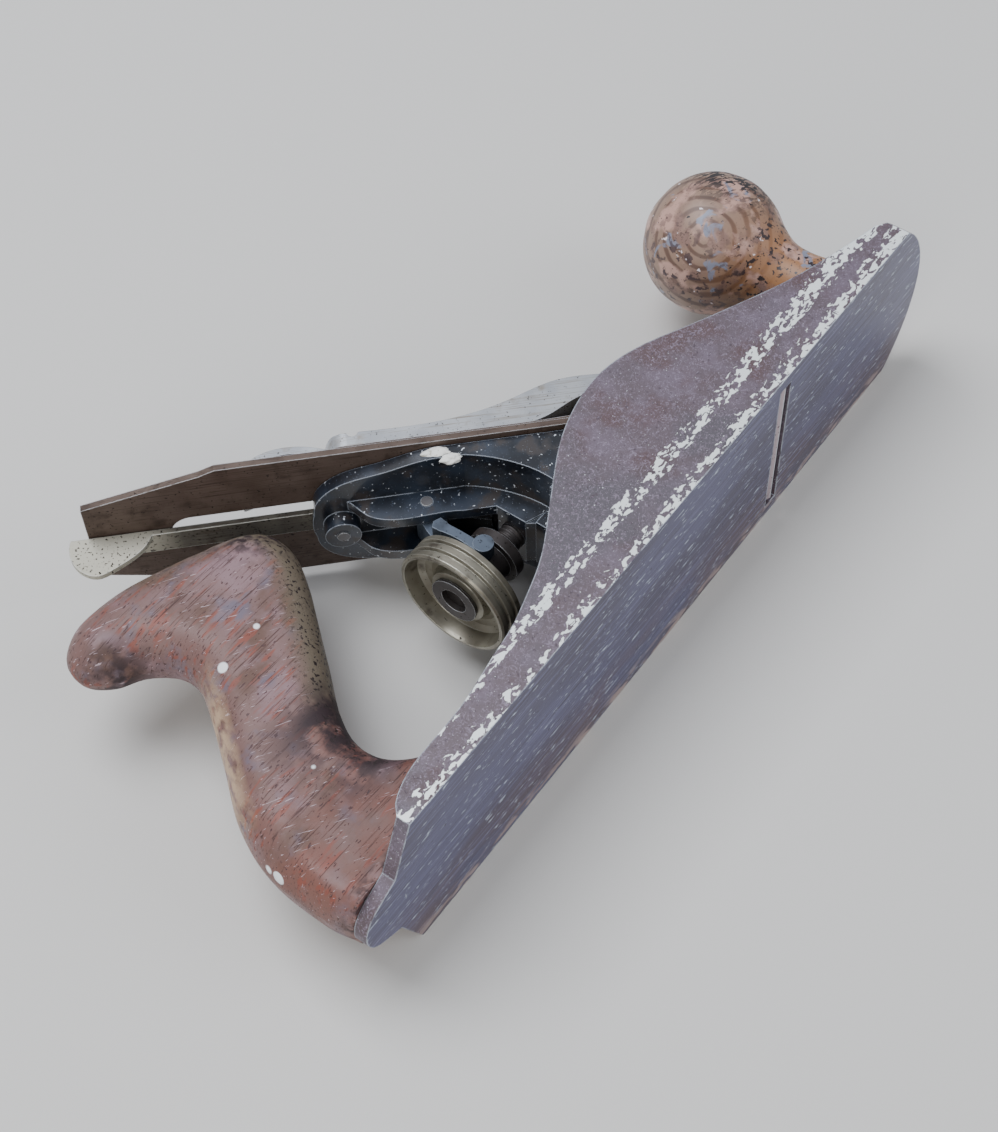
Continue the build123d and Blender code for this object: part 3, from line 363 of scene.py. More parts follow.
def inner_points():
    """Points inside the outline: rings close to it, then an even field."""
    lean = np.roll(outline, -1, axis=0) - np.roll(outline, 1, axis=0)
    normal = np.stack([-lean[:, 1], lean[:, 0]], 1)
    normal /= np.linalg.norm(normal, axis=1)[:, None]
    picked = []
    for depth in RING_DEPTHS:
        ring = outline + depth * normal
        if not inside_outline(ring[60:61])[0]:
            ring = outline - depth * normal
        good = inside_outline(ring) & (gap_to_outline(ring) > 0.9 * depth) & (ring[:, 1] > HAND_Z + 0.2)
        picked.append(ring[good])
    low, high = outline.min(0), outline.max(0)
    xs, zs = np.meshgrid(np.arange(low[0], high[0], FIELD_STEP),
                         np.arange(HAND_Z + 0.8, high[1], FIELD_STEP))
    field = np.stack([xs.ravel(), zs.ravel()], 1)
    field = field[inside_outline(field)]
    picked.append(field[gap_to_outline(field) > FIELD_GAP])
    foot = np.array([
        (x, HAND_Z) for x in np.arange(outline[0, 0] + FIELD_STEP, outline[-1, 0] - 1.0, FIELD_STEP)
    ])
    return np.vstack(picked + [foot])


def half_height(points):
    """How far the rasped side stands from the middle of the handle."""
    depth = gap_to_outline(points)
    round_over = np.interp(points[:, 1], (HAND_Z, 14, 30, 84, 98), (4.0, 5.5, 9.0, 9.5, 11.0))
    full = np.interp(points[:, 1], (HAND_Z, 20, 60, 84, 108), (10.5, 10.3, 9.7, 9.9, 9.0))
    full = full - np.clip((-88 - points[:, 0]) / 20, 0, 1) * np.clip((points[:, 1] - 80) / 12, 0, 1) * 1.0
    u = 1 - np.clip(depth / round_over, 0, 1)
    return full * np.sqrt(1 - u**2)


def build_handle():
    """The handle's mesh: two mirrored sides, welded at the outline, and a flat foot."""
    every = np.vstack([outline, inner_points()])
    count = len(outline)
    rim = [(i, (i + 1) % count) for i in range(count)]
    points, _, faces, *_ = delaunay_2d_cdt([Vector(p) for p in every], rim, [], 2, 1e-5)
    flat = np.array([tuple(p) for p in points])
    height = half_height(flat)
    mesh = bmesh.new()
    rows = []
    for side in (-1, 1):
        rows.append([mesh.verts.new((p[0] * MM, side * h * MM, p[1] * MM)) for p, h in zip(flat, height)])
    for face in faces:
        mesh.faces.new([rows[0][i] for i in face])
        mesh.faces.new([rows[1][i] for i in reversed(face)])
    foot = sorted([i for i in range(len(flat)) if abs(flat[i][1] - HAND_Z) < 1e-3],
                  key=lambda i: flat[i][0])
    for i, j in zip(foot, foot[1:]):
        mesh.faces.new([rows[0][i], rows[0][j], rows[1][j], rows[1][i]])
    bmesh.ops.remove_doubles(mesh, verts=mesh.verts, dist=1e-6)
    bmesh.ops.recalc_face_normals(mesh, faces=mesh.faces)
    return mesh


def make_piece(name, mesh, body, smooth_under=40):
    """Turns a bmesh into a smooth shaded object that rides on a body."""
    data = bpy.data.meshes.new(name)
    mesh.to_mesh(data)
    mesh.free()
    data.polygons.foreach_set("use_smooth", [True] * len(data.polygons))
    data.set_sharp_from_angle(angle=math.radians(smooth_under))
    piece = bpy.data.objects.new(name, data)
    bpy.context.scene.collection.objects.link(piece)
    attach(piece, body)
    print(name, "faces:", len(data.polygons))
    return piece


handle = make_piece("rasped_handle", build_handle(), "body")
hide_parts("rear_handle")

# %% [markdown]
# The nut at the handle's top sits in a counterbore square to the rod. A boolean with a plain cylinder cuts
# it as the drill did, and the modifier is applied at once so that only a finished mesh is left.

# %% Counterbore for the handle's nut
ROD_SLOPE = 0.5
BORE_RADIUS = 0.0062
BORE_DEPTH = 0.030     # long enough to leave the wood at the top
NUT_SEAT = 0.0027      # the bore's floor lies this far below the nut's middle
NUT_LOW, NUT_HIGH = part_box("handle_nut")


def cut_bore(piece, at, along, radius, depth):
    """Cuts a round hole of depth metres into a piece, starting at a point and going along a direction."""
    drill = bmesh.new()
    bmesh.ops.create_cone(drill, cap_ends=True, segments=48, radius1=radius, radius2=radius, depth=depth)
    data = bpy.data.meshes.new("drill")
    drill.to_mesh(data)
    drill.free()
    drill_body = bpy.data.objects.new("drill", data)
    bpy.context.scene.collection.objects.link(drill_body)
    turned = along.to_track_quat("Z", "X").to_matrix().to_4x4()
    drill_body.matrix_world = Matrix.Translation(at + along * depth / 2) @ turned
    cut = piece.modifiers.new("bore", "BOOLEAN")
    cut.object = drill_body
    cut.operation = "DIFFERENCE"
    bpy.context.view_layer.update()
    seen = piece.evaluated_get(bpy.context.evaluated_depsgraph_get())
    new = bpy.data.meshes.new_from_object(seen)
    piece.modifiers.clear()
    piece.data = new
    new.set_sharp_from_angle(angle=math.radians(40))
    bpy.data.objects.remove(drill_body)


rod_way = Vector((ROD_SLOPE, 0, 1)).normalized()
nut_middle = (Vector(NUT_LOW) + Vector(NUT_HIGH)) / 2
cut_bore(handle, nut_middle - rod_way * NUT_SEAT, rod_way, BORE_RADIUS, BORE_DEPTH)
print("faces after the bore:", len(handle.data.polygons))

# %% [markdown]
# ## Front knob
# The knob was turned on a lathe, so spinning its profile gives the shape. The profile carries the
# counterbore for its nut and the bore for its bolt, and soft noise of a few hundredths of a millimetre
# takes off the machine-made look that a worn hand-rubbed knob no longer has.

# %% Turned parts
KNOB_X = sum(corner[0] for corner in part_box("knob_bolt")) / 2 / MM
KNOB_SIDE = [
    (15.2, HAND_Z), (16.0, 6.0), (14.2, 9.6), (11.6, 14.6), (9.9, 20.0), (9.3, 26.0), (9.9, 31.4),
    (12.4, 36.4), (16.6, 42.0), (19.1, 47.6), (19.7, 52.5), (18.9, 58.4), (16.4, 63.6), (12.4, 67.9),
    (6.8, 71.0),
]


def spin(profile, segments, place):
    """Turns a closed profile of (radius, along) in mm; place gives each x, y, along its point in metres."""
    mesh = bmesh.new()
    rings = []
    for radius, along in profile:
        rings.append([
            mesh.verts.new(place(radius * math.cos(a), radius * math.sin(a), along))
            for a in (2 * math.pi * k / segments for k in range(segments))
        ])
    for low, high in zip(rings, rings[1:] + rings[:1]):
        for k in range(segments):
            mesh.faces.new([low[k], low[(k + 1) % segments], high[(k + 1) % segments], high[k]])
    bmesh.ops.recalc_face_normals(mesh, faces=mesh.faces)
    return mesh


KNOB_BORE = [(6.4, 71.15), (6.2, 70.9), (6.2, 65.4), (3.0, 65.4)]
WOBBLE = 0.00012       # most that the surface strays, m
WOBBLE_SIZE = 0.009    # from one swell to the next, m
knob_profile = [(3.0, HAND_Z)] + [tuple(p) for p in smooth_line(KNOB_SIDE, 7)] + KNOB_BORE
knob_mesh = spin(knob_profile, 112, lambda x, y, along: ((KNOB_X + x) * MM, y * MM, along * MM))
for vert in knob_mesh.verts:
    out = Vector((vert.co.x - KNOB_X * MM, vert.co.y, 0))
    if out.length > 0.0085 and HAND_Z * MM + 0.001 < vert.co.z:
        vert.co += out.normalized() * WOBBLE * noise.noise(vert.co / WOBBLE_SIZE)
knob = make_piece("turned_knob", knob_mesh, "body", 50)
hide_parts("front_knob")

# %% [markdown]
# ## Threaded stud
# The steel stud behind the frog shows its thread between the boss and the nut. A screw modifier
# could sweep a V, but turning a cylinder whose radius follows the thread's ramp gives one closed mesh.

# %% Threaded stud
THREAD_PITCH = 1.27
THREAD_DEPTH = 0.55
stud_low, stud_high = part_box("depth_stud")
NUT_Z = (stud_low[2] + stud_high[2]) / 2 / MM
STUD_R = (stud_high[2] - stud_low[2]) / 2 / MM


def threaded_rod(x_start, x_end, radius, axis_z, segments=40, per_pitch=8):
    """A rod along X whose surface follows a V thread, closed by flat ends."""
    mesh = bmesh.new()
    count = int((x_end - x_start) / THREAD_PITCH * per_pitch)
    rings = []
    for i in range(count + 1):
        x = x_start + (x_end - x_start) * i / count
        ring = []
        for k in range(segments):
            turn = k / segments
            ramp = abs(((x / THREAD_PITCH + turn) % 1.0) * 2 - 1)
            r = radius - THREAD_DEPTH * min(1.0, max(0.0, 1.25 * ramp - 0.12))
            ring.append(mesh.verts.new((
                x * MM, r * math.cos(2 * math.pi * turn) * MM,
                (axis_z + r * math.sin(2 * math.pi * turn)) * MM)))
        rings.append(ring)
    for low, high in zip(rings, rings[1:]):
        for k in range(segments):
            mesh.faces.new([low[k], low[(k + 1) % segments], high[(k + 1) % segments], high[k]])
    mesh.faces.new(rings[0])
    mesh.faces.new(rings[-1])
    bmesh.ops.recalc_face_normals(mesh, faces=mesh.faces)
    return mesh


stud = make_piece("threaded_stud", threaded_rod(stud_low[0] / MM, stud_high[0] / MM, STUD_R, NUT_Z), "frog",
                  70)
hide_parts("depth_stud")

# %% [markdown]
# ## A spill of old paint
# A drop of white house paint has dried on the shoulder of the frog. It is a squashed ball whose surface
# noise breaks its round outline, sunk a little into the casting so that only its skin shows.

# %% Paint drops
BED_X = 46.75


def on_bed(s, off, y):
    """A point s mm up the sloping bed, off mm away from it and y mm across, in metres."""
    c = math.sqrt(0.5)
    return Vector(((BED_X - c * s + c * off) * MM, y * MM, (c * s + c * off) * MM))


def paint_drop(name, at, size, body, seed):
    """A flattened, uneven blob of paint."""
    mesh = bmesh.new()
    bmesh.ops.create_icosphere(mesh, subdivisions=4, radius=1.0)
    for vert in mesh.verts:
        lumps = noise.noise(vert.co * 1.7 + Vector((seed, 0, 0)))
        ripple = noise.noise(vert.co * 5)
        vert.co *= 1 + 0.35 * lumps + 0.08 * ripple
        along = Vector((-0.707, 0, 0.707)) * vert.co.x * size[0]
        across = Vector((0.707, 0, 0.707)) * vert.co.y * size[1]
        vert.co = at + (along + across + Vector((0, vert.co.z * size[2], 0))) * MM
    return make_piece(name, mesh, body, 60)


drops = [
    paint_drop("paint_drop_large", on_bed(86.5, -1.9, -19.6), (4.3, 1.7, 1.5), "frog", 3.0),
    paint_drop("paint_drop_small", on_bed(83.5, -4.2, -19.9), (2.6, 1.5, 1.1), "frog", 8.0),
]
print("paint drops:", len(drops))

# %% [markdown]
# ## Weathered cast iron
# The body is grey cast iron, cast in sand, ground on its sole and cheeks, and painted black inside. Years
# of damp hands have left a purple-brown patina. Where the cheek meets the bench and the shooting board the
# patina is rubbed through to bright metal, in two long speckled bands. One material covers the casting:
# its zones follow from height, depth and the way a face looks.

# %% Weathered cast iron
INNER_FACE = 23.87
PLATE_TOP = 3.52


def flecked(tree, field, level):
    """Crisp flecks where a smooth field passes a level."""
    return add(tree, "MapRange", {"From Min": level, "From Max": level + 0.04}, {"Value": field}).outputs[0]


def cast_iron():
    """Patinated cheeks, scratched sole and worn black paint inside."""
    mat, tree, shader, coords = start_material("weathered cast iron", 0.5, 0.15)
    shader.inputs["Specular IOR Level"].default_value = 0.6
    split = add(tree, "SeparateXYZ", {}, {0: coords.outputs["Object"]})
    across = add(tree, "Math", {"operation": "ABSOLUTE"}, {0: split.outputs["Y"]})
    low_wall = add(tree, "MapRange", {"From Min": (INNER_FACE + 0.08) * MM, "From Max": INNER_FACE * MM},
                   {"Value": across.outputs[0]})
    inside = zone(tree, coords, "Z", PLATE_TOP - 0.06, PLATE_TOP, within=low_wall.outputs[0])
    sole = zone(tree, coords, "Z", 0.10, 0.03)

    mottle = patches(tree, coords, 9, 0.40, 0.66, detail=8)
    brown = patches(tree, coords, 11, 0.46, 0.66, detail=9, seed=2)
    smoke = patches(tree, coords, 24, 0.45, 0.66, detail=8, seed=5)
    grit = patches(tree, coords, 0.9, 0.50, 0.72, detail=6, warp=1.5, seed=6)
    pores = patches(tree, coords, 0.9, 0.60, 0.70, detail=3, seed=7)
    dust = patches(tree, coords, 0.5, 0.66, 0.72, detail=2, seed=9)
    hair = patches(tree, coords, 0.35, 0.62, 0.72, length=(7, 3, 1), turn=-18, detail=3, warp=2.5, seed=4)

    # rubbed bands: one about 10 mm up the cheek, one just above the sole; the toe is barest
    toe_part = zone(tree, coords, "X", -20, 75)
    heel_part = zone(tree, coords, "X", -60, -96)
    toe_tip = zone(tree, coords, "X", 84, 104)
    upper = layers(tree, 0.73, (1.05, toe_part), (0.84, heel_part), (1.5, toe_tip))
    lower = layers(tree, 0.64, (1.0, zone(tree, coords, "X", -60, 40)), (0.95, heel_part), (1.35, toe_tip))
    upper_rise = zone(tree, coords, "Z", 15.0, 10.8, within=zone(tree, coords, "Z", 5.6, 9.4, within=upper))
    lower_rise = zone(tree, coords, "Z", 7.0, 1.2, within=lower)
    amount = add(tree, "Math", {"operation": "MAXIMUM"}, {0: upper_rise, 1: lower_rise}).outputs[0]
    right_cheek = zone(tree, coords, "Y", -26.6, -26.9)
    left_cheek = zone(tree, coords, "Y", 26.6, 26.9)
    both_cheeks = add(tree, "Math", {"operation": "MAXIMUM"}, {0: right_cheek, 1: left_cheek}).outputs[0]
    coarse = patches(tree, coords, 1.3, 0.30, 0.70, length=(1.7, 1, 0.9), detail=10, warp=0.5, seed=11)
    bright = flecked(tree, keep(tree, coarse, keep(tree, amount, both_cheeks)), 0.41)
    stray = patches(tree, coords, 0.8, 0.70, 0.73, detail=3, seed=17)

    cheek = layers(tree, "#5f535a", ("#6b5f6c", mottle), ("#5a474a", brown), ("#575259", smoke),
                   ("#50444d", pores), ("#85798a", grit), ("#8d8294", hair), ("#a9a5b2", dust),
                   ("#dfe6ea", stray), ("#f4faf9", bright))

    # the sole: scratched along its length, browner towards the left edge, and tinted blue all over as a
    # painted reflection of a blue cloth
    lengthwise = patches(tree, coords, 0.45, 0.50, 0.72, length=(70, 1, 1), detail=4, seed=21)
    dark_lines = patches(tree, coords, 0.6, 0.55, 0.75, length=(60, 1, 1), detail=3, seed=22)
    dashes = patches(tree, coords, 0.6, 0.65, 0.675, length=(6, 1, 1), detail=3, warp=0.4, seed=23)
    pits = patches(tree, coords, 1.3, 0.68, 0.72, length=(1.6, 1, 1), detail=4, seed=24)
    clouds = patches(tree, coords, 22, 0.42, 0.60, length=(2.5, 1, 1), detail=4, seed=25)
    left_side = zone(tree, coords, "Y", 2, 24,
                     within=patches(tree, coords, 12, 0.36, 0.58, length=(3, 1, 1), seed=26))
    left_edge = zone(tree, coords, "Y", 21, 26,
                     within=patches(tree, coords, 2.2, 0.50, 0.56, length=(4, 1, 1), detail=6, seed=27))
    # these sole colours lean blue-purple: a painted reflection laid over the scratches, pits and brown
    # patches
    ground_with_blue_reflection = layers(tree, "#46415a", ("#535272", clouds), ("#5e4a52", left_side), ("#37344a", dark_lines),
                    ("#6b6c92", lengthwise), ("#2e2a38", pits), ("#c3cede", dashes), ("#b39c98", left_edge))

    # worn black paint inside
    chips = patches(tree, coords, 5, 0.60, 0.64, detail=6, seed=31)
    grey_dust = patches(tree, coords, 12, 0.42, 0.70, detail=4, seed=32)
    shavings = patches(tree, coords, 0.8, 0.68, 0.72, detail=2, seed=33)
    black = layers(tree, "#191c24", ("#33343c", grey_dust), ("#54423c", chips), ("#9a9388", shavings))

    rims = edges(tree, 0.55, 0.015, 0.10)
    worn_rims = keep(tree, rims, patches(tree, coords, 3, 0.30, 0.52, detail=4, seed=35))
    colour = layers(tree, cheek, (ground_with_blue_reflection, sole), (black, inside), ("#c9d3de", worn_rims))
    rough = layers(tree, 0.52, (0.62, brown), (0.36, sole), (0.30, keep(tree, lengthwise, sole)),
                   (0.40, inside), (0.34, bright), (0.30, worn_rims))
    height = layers(tree, 0.55, (0.40, mottle), (0.15, pores), (0.05, keep(tree, pits, sole)),
                    (0.35, keep(tree, dark_lines, sole)), (0.9, bright), (0.3, keep(tree, chips, inside)))
    finish_surface(tree, shader, colour, rough, height, 0.12, 0.45)
    return mat


paint(cast_iron(), "body_casting")
print("finish:", "weathered cast iron")

# %% [markdown]
# ## Black japanning
# The frog is cast iron under japanning, a baked asphalt varnish: black and glassy, its colour tinted a
# little blue as a painted reflection of the sky, thin on sharp edges where the grey metal shows as pale
# lines, brightened to a bluish white as a painted highlight. Dust and flecks of paint sit on it.

# %% Black japanning


def japanning():
    """Baked black varnish, tinted blue as a painted sky reflection, with worn edges brightened as a painted
    highlight, and flecks.
    """
    mat, tree, shader, coords = start_material("black japanning", 0.32, 0.0, 0.8, 0.12)
    shader.inputs["Specular IOR Level"].default_value = 0.6
    bloom_and_sky_reflection = patches(tree, coords, 9, 0.40, 0.66, detail=5, seed=41)
    brown = patches(tree, coords, 6, 0.52, 0.66, detail=6, seed=42)
    flecks = patches(tree, coords, 1.0, 0.69, 0.715, detail=2, seed=43)
    grit = patches(tree, coords, 0.45, 0.66, 0.74, detail=2, seed=44)
    # edges worn to bare metal, their colour brightened to a bluish white as a painted highlight
    rims = edges(tree, 0.40, 0.02, 0.11)
    worn = keep(tree, rims, patches(tree, coords, 4, 0.26, 0.44, detail=4, seed=45))
    # the blue-black base and the bluish bloom colour are a painted reflection of the sky
    colour = layers(tree, "#141921", ("#222d3c", bloom_and_sky_reflection), ("#2e2827", brown), ("#566276", grit),
                    ("#dfe6ee", flecks), ("#bcc6d4", worn))
    rough = layers(tree, 0.30, (0.42, bloom_and_sky_reflection), (0.55, brown), (0.7, flecks), (0.35, worn))
    height = layers(tree, 0.5, (0.62, bloom_and_sky_reflection), (0.4, brown), (1.0, flecks), (0.35, grit))
    finish_surface(tree, shader, colour, rough, height, 0.12, 0.35)
    return mat


black_japanning = japanning()
paint(black_japanning, "frog")
print("finish:", black_japanning.name)

# %% [markdown]
# ## Nickel plate and steel
# The lever cap is cast iron under old nickel: greyish white, dulled, and peppered with dark pinholes where
# damp got under it. The other small parts are plain or plated steel in several states, so one recipe is
# called with the colours, the grain and the amount of rust of each.

# %% Metals


def aged_metal(name, clean, tone, stain, pit, metal, rough, grain=None, pit_level=0.64,
               edge_tone="#e9edf0", edge=0.25, relief=0.05, painted_highlight=None):
    """Dull metal: tone clouds, stain blotches, dark pits, worn edges and, if given, a direction of grain and
    a painted highlight, a lighter colour past a place along one axis.
    """
    mat, tree, shader, coords = start_material(name, rough, metal)
    clouds = patches(tree, coords, 8, 0.36, 0.68, detail=8, seed=51)
    blotch = patches(tree, coords, 5.5, 0.54, 0.74, detail=10, seed=52)
    pits = patches(tree, coords, 0.75, pit_level, pit_level + 0.04, detail=3, seed=53)
    rims = keep(tree, edges(tree, edge, 0.02, 0.12), patches(tree, coords, 3, 0.24, 0.44, seed=54))
    coats = [(tone, clouds), (stain, blotch)]
    levels = [(min(1.0, rough + 0.12), blotch)]
    if grain:
        length, turn = grain
        lines = patches(tree, coords, 0.35, 0.48, 0.72, length=length, turn=turn, detail=3, seed=55)
        coats.append((stain, keep(tree, lines, patches(tree, coords, 10, 0.30, 0.60, seed=56))))
        levels.append((min(1.0, rough + 0.08), lines))
    coats += [(pit, pits)]
    # a painted highlight: a lighter colour past a place along one axis
    if painted_highlight:
        highlight_colour, axis, start, end = painted_highlight
        coats.insert(-1, (highlight_colour, zone(tree, coords, axis, start, end)))
    coats += [(edge_tone, rims)]
    levels += [(0.75, pits), (max(0.2, rough - 0.12), rims)]
    colour = layers(tree, clean, *coats)
    roughness = layers(tree, rough, *levels)
    height = layers(tree, 0.6, (0.5, blotch), (0.0, pits))
    finish_surface(tree, shader, colour, roughness, height, relief, edge)
    return mat


ALONG_BED = ((40, 1, 1), 45)
worn_nickel = aged_metal("worn nickel plate", "#cccfd2", "#b6babf", "#989187", "#453e37", 0.65, 0.34,
                         ALONG_BED, pit_level=0.66)
# the cutter's lower edge is painted lighter as a highlight
rusty_cutter = aged_metal("browned tool steel", "#63544b", "#54453c", "#43352d", "#30251f", 0.25, 0.5,
                          ALONG_BED, edge_tone="#eef1f5", edge=0.35, painted_highlight=("#b9a8ae", "Z", 4.2, 3.0))
grey_steel = aged_metal("dull grey steel", "#7b7b7e", "#6d6a6a", "#5d534d", "#3c3430", 0.55, 0.42)
dark_steel = aged_metal("oil-darkened steel", "#4b4746", "#3f3a39", "#5a4a40", "#2a2422", 0.5, 0.45)
blue_steel = aged_metal("blued forged steel", "#5a6573", "#4a5563", "#3c444f", "#262a30", 0.4, 0.42,
                        edge_tone="#b3bfcc")
# the lateral lever's end tab is painted lighter as a highlight
green_steel = aged_metal("stained spring steel", "#5c5850", "#6e6a60", "#4a4138", "#302923", 0.4, 0.46,
                         ALONG_BED, 0.60, "#f1f2ea", 0.4, 0.06, ("#b4b1a2", "X", -62, -68))
yellow_nickel = aged_metal("yellowed nickel plate", "#9a9688", "#827d70", "#5a5349", "#39322b", 0.6, 0.34,
                           pit_level=0.66, edge_tone="#dcdccd")
old_brass = aged_metal("old brass", "#9a7d46", "#86693a", "#5b4a30", "#3a3022", 0.85, 0.4,
                       edge_tone="#d9c07c")
metals = (worn_nickel, rusty_cutter, grey_steel, dark_steel, blue_steel, green_steel, yellow_nickel,
          old_brass)
print("metals:", ", ".join(m.name for m in metals))

# %% Metals on their parts
paint(worn_nickel, "lever_cap", "cam_lever")
paint(rusty_cutter, "cutter_iron", "cap_iron")
paint(grey_steel, "frog_screws", "frog_washers", "frog_adjusting_screw", "cap_iron_screw",
      "lever_cap_screw", "cam_pin", "spring_rivet", "lateral_rivet", "yoke_pin", "clip_screw",
      "lateral_roller")
paint(dark_steel, "depth_hub", "cap_spring", "knob_bolt", "handle_rod", "frog_clip")
paint(blue_steel, "yoke")
paint(green_steel, "lateral_lever")
paint(yellow_nickel, "depth_wheel")
paint(old_brass, "knob_nut", "handle_nut")
stud.data.materials.append(dark_steel)
print("finish of the stud:", dark_steel.name)

# %% [markdown]
# ## Stained hardwood
# Knob and handle are a fine-grained hardwood under a dark stain that hands have rubbed to a chalky pink
# and tan. Grain lines run long and thin along the board; stain stays in the pores and hollows; grime
# gathers at the waist and along the front edge; the handle is darker under the horn; painted shade darkens
# its foot on the casting and its top front beside the iron; a few specks of white paint are stuck on.

# %% Handle wood
GRAIN_TURN = 3
PAINT_SPECKS = [
    ((-89.5, -9.6, 67.8), 1.3), ((-76.1, -9.8, 68.4), 0.6), ((-93.0, -9.0, 77.0), 0.5),
    ((-66.0, -9.5, 24.0), 0.7), ((-74.0, -9.8, 16.5), 0.8), ((-98.0, -9.6, 33.0), 0.5),
    ((-122.3, -3.5, 24.5), 1.6), ((-122.4, -3.2, 28.0), 1.4), ((-121.8, -4.2, 31.5), 1.0),
]      # place and radius, mm


def handle_wood():
    """Rubbed stain on a board-sawn handle."""
    mat, tree, shader, coords = start_material("rubbed stained hardwood", 0.5)
    shader.inputs["Specular IOR Level"].default_value = 0.45
    rubbed = patches(tree, coords, 16, 0.40, 0.64, detail=8, seed=61)
    brown = patches(tree, coords, 12, 0.46, 0.66, detail=9, seed=62)
    bluish = patches(tree, coords, 9, 0.54, 0.70, detail=9, seed=63)
    streak = patches(tree, coords, 1.4, 0.52, 0.64, length=(7, 2, 1), turn=GRAIN_TURN, detail=5, seed=64)
    red = keep(tree, streak, patches(tree, coords, 13, 0.42, 0.58, seed=65))
    grain = patches(tree, coords, 0.45, 0.56, 0.72, length=(22, 3, 1), turn=GRAIN_TURN, detail=4, seed=66)
    pale_hair = patches(tree, coords, 0.4, 0.67, 0.72, length=(12, 3, 1), turn=GRAIN_TURN + 30, detail=2,
                        warp=1.0, seed=67)
    pores = patches(tree, coords, 0.6, 0.64, 0.70, length=(3, 1, 1), turn=GRAIN_TURN, detail=2, seed=68)
    front = zone(tree, coords, "X", 0.02, 0.45, "Normal")
    back_edge = zone(tree, coords, "X", -0.40, -0.65, "Normal")
    tan = keep(tree, back_edge, zone(tree, coords, "Z", 34, 46, within=zone(tree, coords, "Z", 74, 62)))
    tan = keep(tree, tan, patches(tree, coords, 2.5, 0.32, 0.56, length=(1, 1, 5), detail=8, seed=75))
    khaki = keep(tree, front, zone(tree, coords, "Z", 36, 46))
    waist = keep(tree, zone(tree, coords, "X", -106, -90),
                 zone(tree, coords, "Z", 14, 22, within=zone(tree, coords, "Z", 50, 42)))
    horn = keep(tree, zone(tree, coords, "X", -92, -102),
                zone(tree, coords, "Z", 100, 90, within=zone(tree, coords, "Z", 74, 80)))
    ruddy = keep(tree, zone(tree, coords, "Z", 48, 28),
                 patches(tree, coords, 10, 0.36, 0.62, detail=8, seed=74))
    # painted shade: the top front of the handle beside the iron, and its foot where it meets the casting
    brow = near(tree, coords, (-53, -7, 90), 7, 8)
    foot = zone(tree, coords, "Z", 8, 4)
    waist_dirt = keep(tree, waist, patches(tree, coords, 5, 0.34, 0.56, detail=6, seed=69))
    # darker in patches under the horn
    under_horn_dark = keep(tree, horn, patches(tree, coords, 4, 0.34, 0.56, detail=6, seed=70))
    waist_grime_and_horn_dark = add(tree, "Math", {"operation": "MAXIMUM"}, {0: waist_dirt, 1: under_horn_dark}).outputs[0]
    corners = add(tree, "Math", {"operation": "MAXIMUM"}, {0: foot, 1: brow}).outputs[0]
    painted_corner_shade = keep(tree, corners, patches(tree, coords, 3, 0.42, 0.62, detail=7, seed=71))
    # grime at the waist, darker under the horn, and painted shade at the foot and beside the iron
    grime_and_painted_shade = add(tree, "Math", {"operation": "MAXIMUM"}, {0: waist_grime_and_horn_dark, 1: painted_corner_shade}).outputs[0]
    black_pits = keep(tree, front, patches(tree, coords, 1.0, 0.56, 0.62, detail=6, seed=72))
    # the dark #34272a stands for grime at the waist, a darker underside of the horn and painted shade at the
    # handle's corners
    coats = [("#8a6e73", rubbed), ("#63493e", brown), ("#6a5f6c", bluish), ("#7a5248", ruddy),
             ("#84493c", red), ("#4a322e", grain), ("#bda8ad", pale_hair), ("#4c3233", pores),
             ("#b3977c", tan), ("#716657", khaki), ("#34272a", grime_and_painted_shade), ("#2c2322", black_pits)]
    height = [(0.62, rubbed), (0.3, grain), (0.15, pores), (0.35, grime_and_painted_shade), (0.1, black_pits)]
    rough = [(0.42, rubbed), (0.6, brown), (0.62, grain), (0.7, grime_and_painted_shade)]
    for place, radius in PAINT_SPECKS:
        spot = near(tree, coords, place, radius, 0.35)
        coats.append(("#f4f6f8", spot))
        height.append((1.0, spot))
        rough.append((0.6, spot))
    finish_surface(tree, shader, layers(tree, "#775b56", *coats), layers(tree, 0.5, *rough),
                   layers(tree, 0.5, *height), 0.18, 0.3)
    return mat


handle_finish = handle_wood()
handle.data.materials.clear()
handle.data.materials.append(handle_finish)
print("finish:", handle_finish.name)

# %% [markdown]
# The knob was turned across the board, so its growth rings show as a bull's eye on one side. A wave in
# rings about that direction, bent by noise, draws them; flecks of the first black stain are left above.

# %% Knob wood
RING_WAY = Vector((-0.66, -0.72, -0.20)).normalized()
RING_WIDTH = 3.2


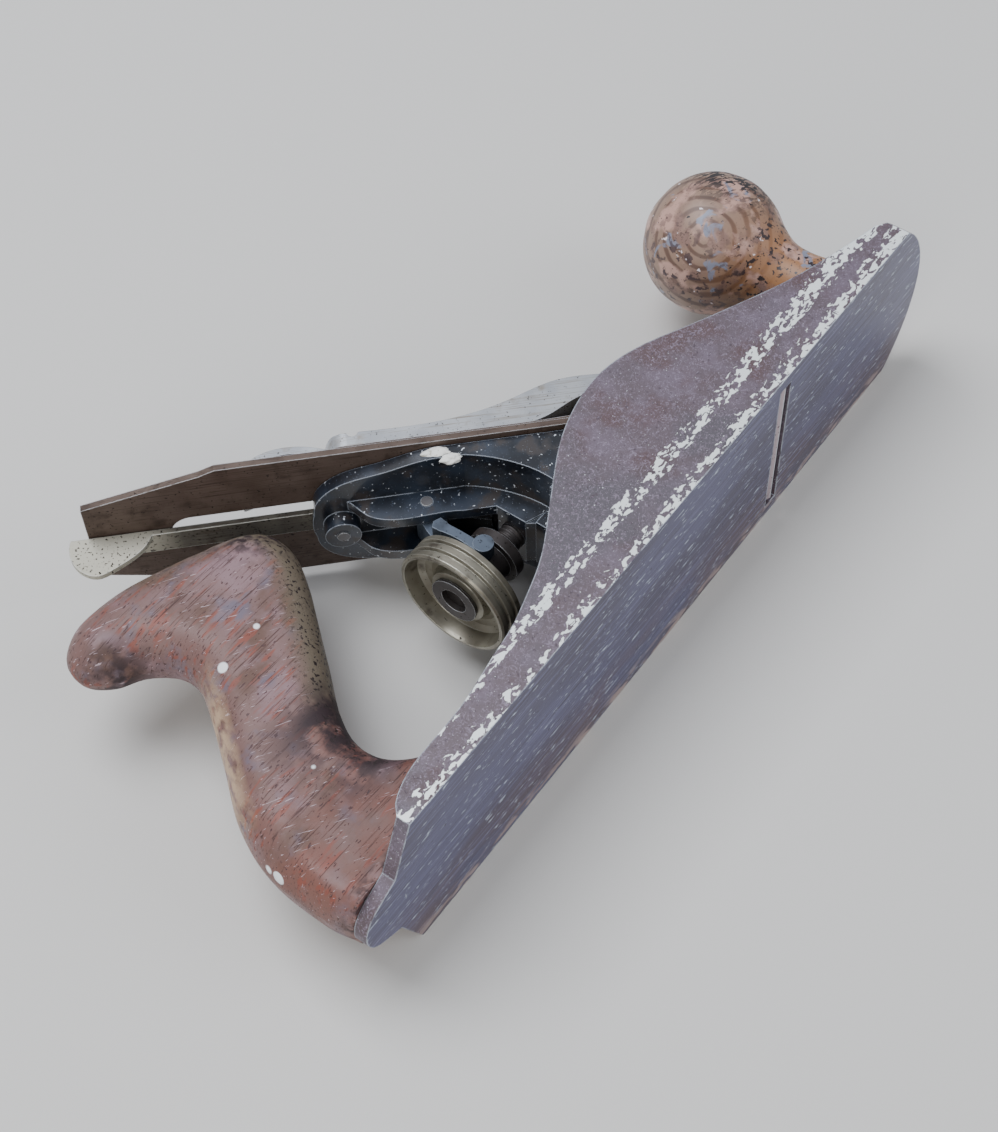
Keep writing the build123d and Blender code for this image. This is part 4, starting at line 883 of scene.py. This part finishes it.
def knob_wood():
    """A rubbed knob with growth rings and flecks of old stain."""
    mat, tree, shader, coords = start_material("rubbed turned hardwood", 0.45)
    centre = Vector((KNOB_X, 0, 52.5)) * MM
    facing = RING_WAY.to_track_quat("X", "Z").to_euler()
    place = add(tree, "Mapping", {
        "vector_type": "TEXTURE", "Location": centre, "Rotation": facing, "Scale": (MM, MM, MM),
    }, {"Vector": coords.outputs["Object"]})
    rings = add(tree, "TexWave", {
        "wave_type": "RINGS", "rings_direction": "X", "Scale": 2 * math.pi / (RING_WIDTH * 20),
        "Distortion": 9.0, "Detail": 3.0, "Detail Scale": 0.35,
    }, {"Vector": place.outputs[0]})
    ring_line = add(tree, "MapRange", {"From Min": 0.55, "From Max": 0.9},
                    {"Value": rings.outputs["Fac"]}).outputs[0]
    pink = patches(tree, coords, 9, 0.50, 0.60, detail=5, seed=81)
    blue = patches(tree, coords, 7, 0.61, 0.66, detail=6, warp=0.8, seed=82)
    orange = zone(tree, coords, "Z", 46, 28)
    shade = patches(tree, coords, 6, 0.50, 0.68, detail=8, seed=83)
    worms = patches(tree, coords, 1.3, 0.60, 0.63, length=(1.6, 1, 1), turn=40, detail=4, warp=2.5, seed=84)
    flecks = patches(tree, coords, 1.0, 0.67, 0.69, length=(2.2, 1, 1), turn=30, detail=3, seed=85)
    crust = keep(tree, near(tree, coords, (109, -13, 54), 8, 8),
                 patches(tree, coords, 1.1, 0.48, 0.52, length=(3, 1, 1), turn=20, detail=5,
                         warp=0.6, seed=86))
    # darker spots round the knob's narrow neck, below the bulb
    dark_neck_spots = keep(tree, near(tree, coords, (100, -4, 30), 12, 8),
                      patches(tree, coords, 1.6, 0.56, 0.61, detail=6, seed=87))
    dirty = keep(tree, zone(tree, coords, "X", 94, 82),
                 patches(tree, coords, 2.4, 0.55, 0.62, length=(1, 1, 1), detail=6, seed=88))
    pale = patches(tree, coords, 2.5, 0.68, 0.71, detail=4, seed=89)
    colour = layers(tree, "#957a69", ("#684f43", ring_line), ("#a4744c", orange), ("#c09a8c", pink),
                    ("#85899a", blue), ("#86695f", shade), ("#4a3a38", keep(tree, worms, shade)),
                    ("#2c2626", flecks), ("#2e2a2b", crust), ("#33292a", dark_neck_spots),
                    ("#4b3a3c", dirty), ("#ece0e2", pale))
    rough = layers(tree, 0.42, (0.55, shade), (0.6, crust), (0.38, pink))
    height = layers(tree, 0.5, (0.4, ring_line), (0.2, flecks), (0.8, crust), (0.65, pink))
    finish_surface(tree, shader, colour, rough, height, 0.16, 0.3)
    return mat


knob_finish = knob_wood()
knob.data.materials.clear()
knob.data.materials.append(knob_finish)
print("finish:", knob_finish.name)

# %% [markdown]
# ## Dried paint
# House paint is a matt white film that has yellowed a little and cracked as it dried.

# %% Dried paint


def dried_paint():
    """Matt white paint with grey dirt in its low places."""
    mat, tree, shader, coords = start_material("dried white paint", 0.6)
    dirt = patches(tree, coords, 1.2, 0.56, 0.66, detail=5, seed=91)
    wrinkle = patches(tree, coords, 0.7, 0.40, 0.65, detail=4, seed=92)
    colour = layers(tree, "#f2f3ee", ("#c9c6bb", dirt))
    finish_surface(tree, shader, colour, layers(tree, 0.55, (0.75, dirt)),
                   layers(tree, 0.5, (0.8, wrinkle)), 0.12, 0.2)
    return mat


white_paint = dried_paint()
for drop in drops:
    drop.data.materials.append(white_paint)
print("finish:", white_paint.name)
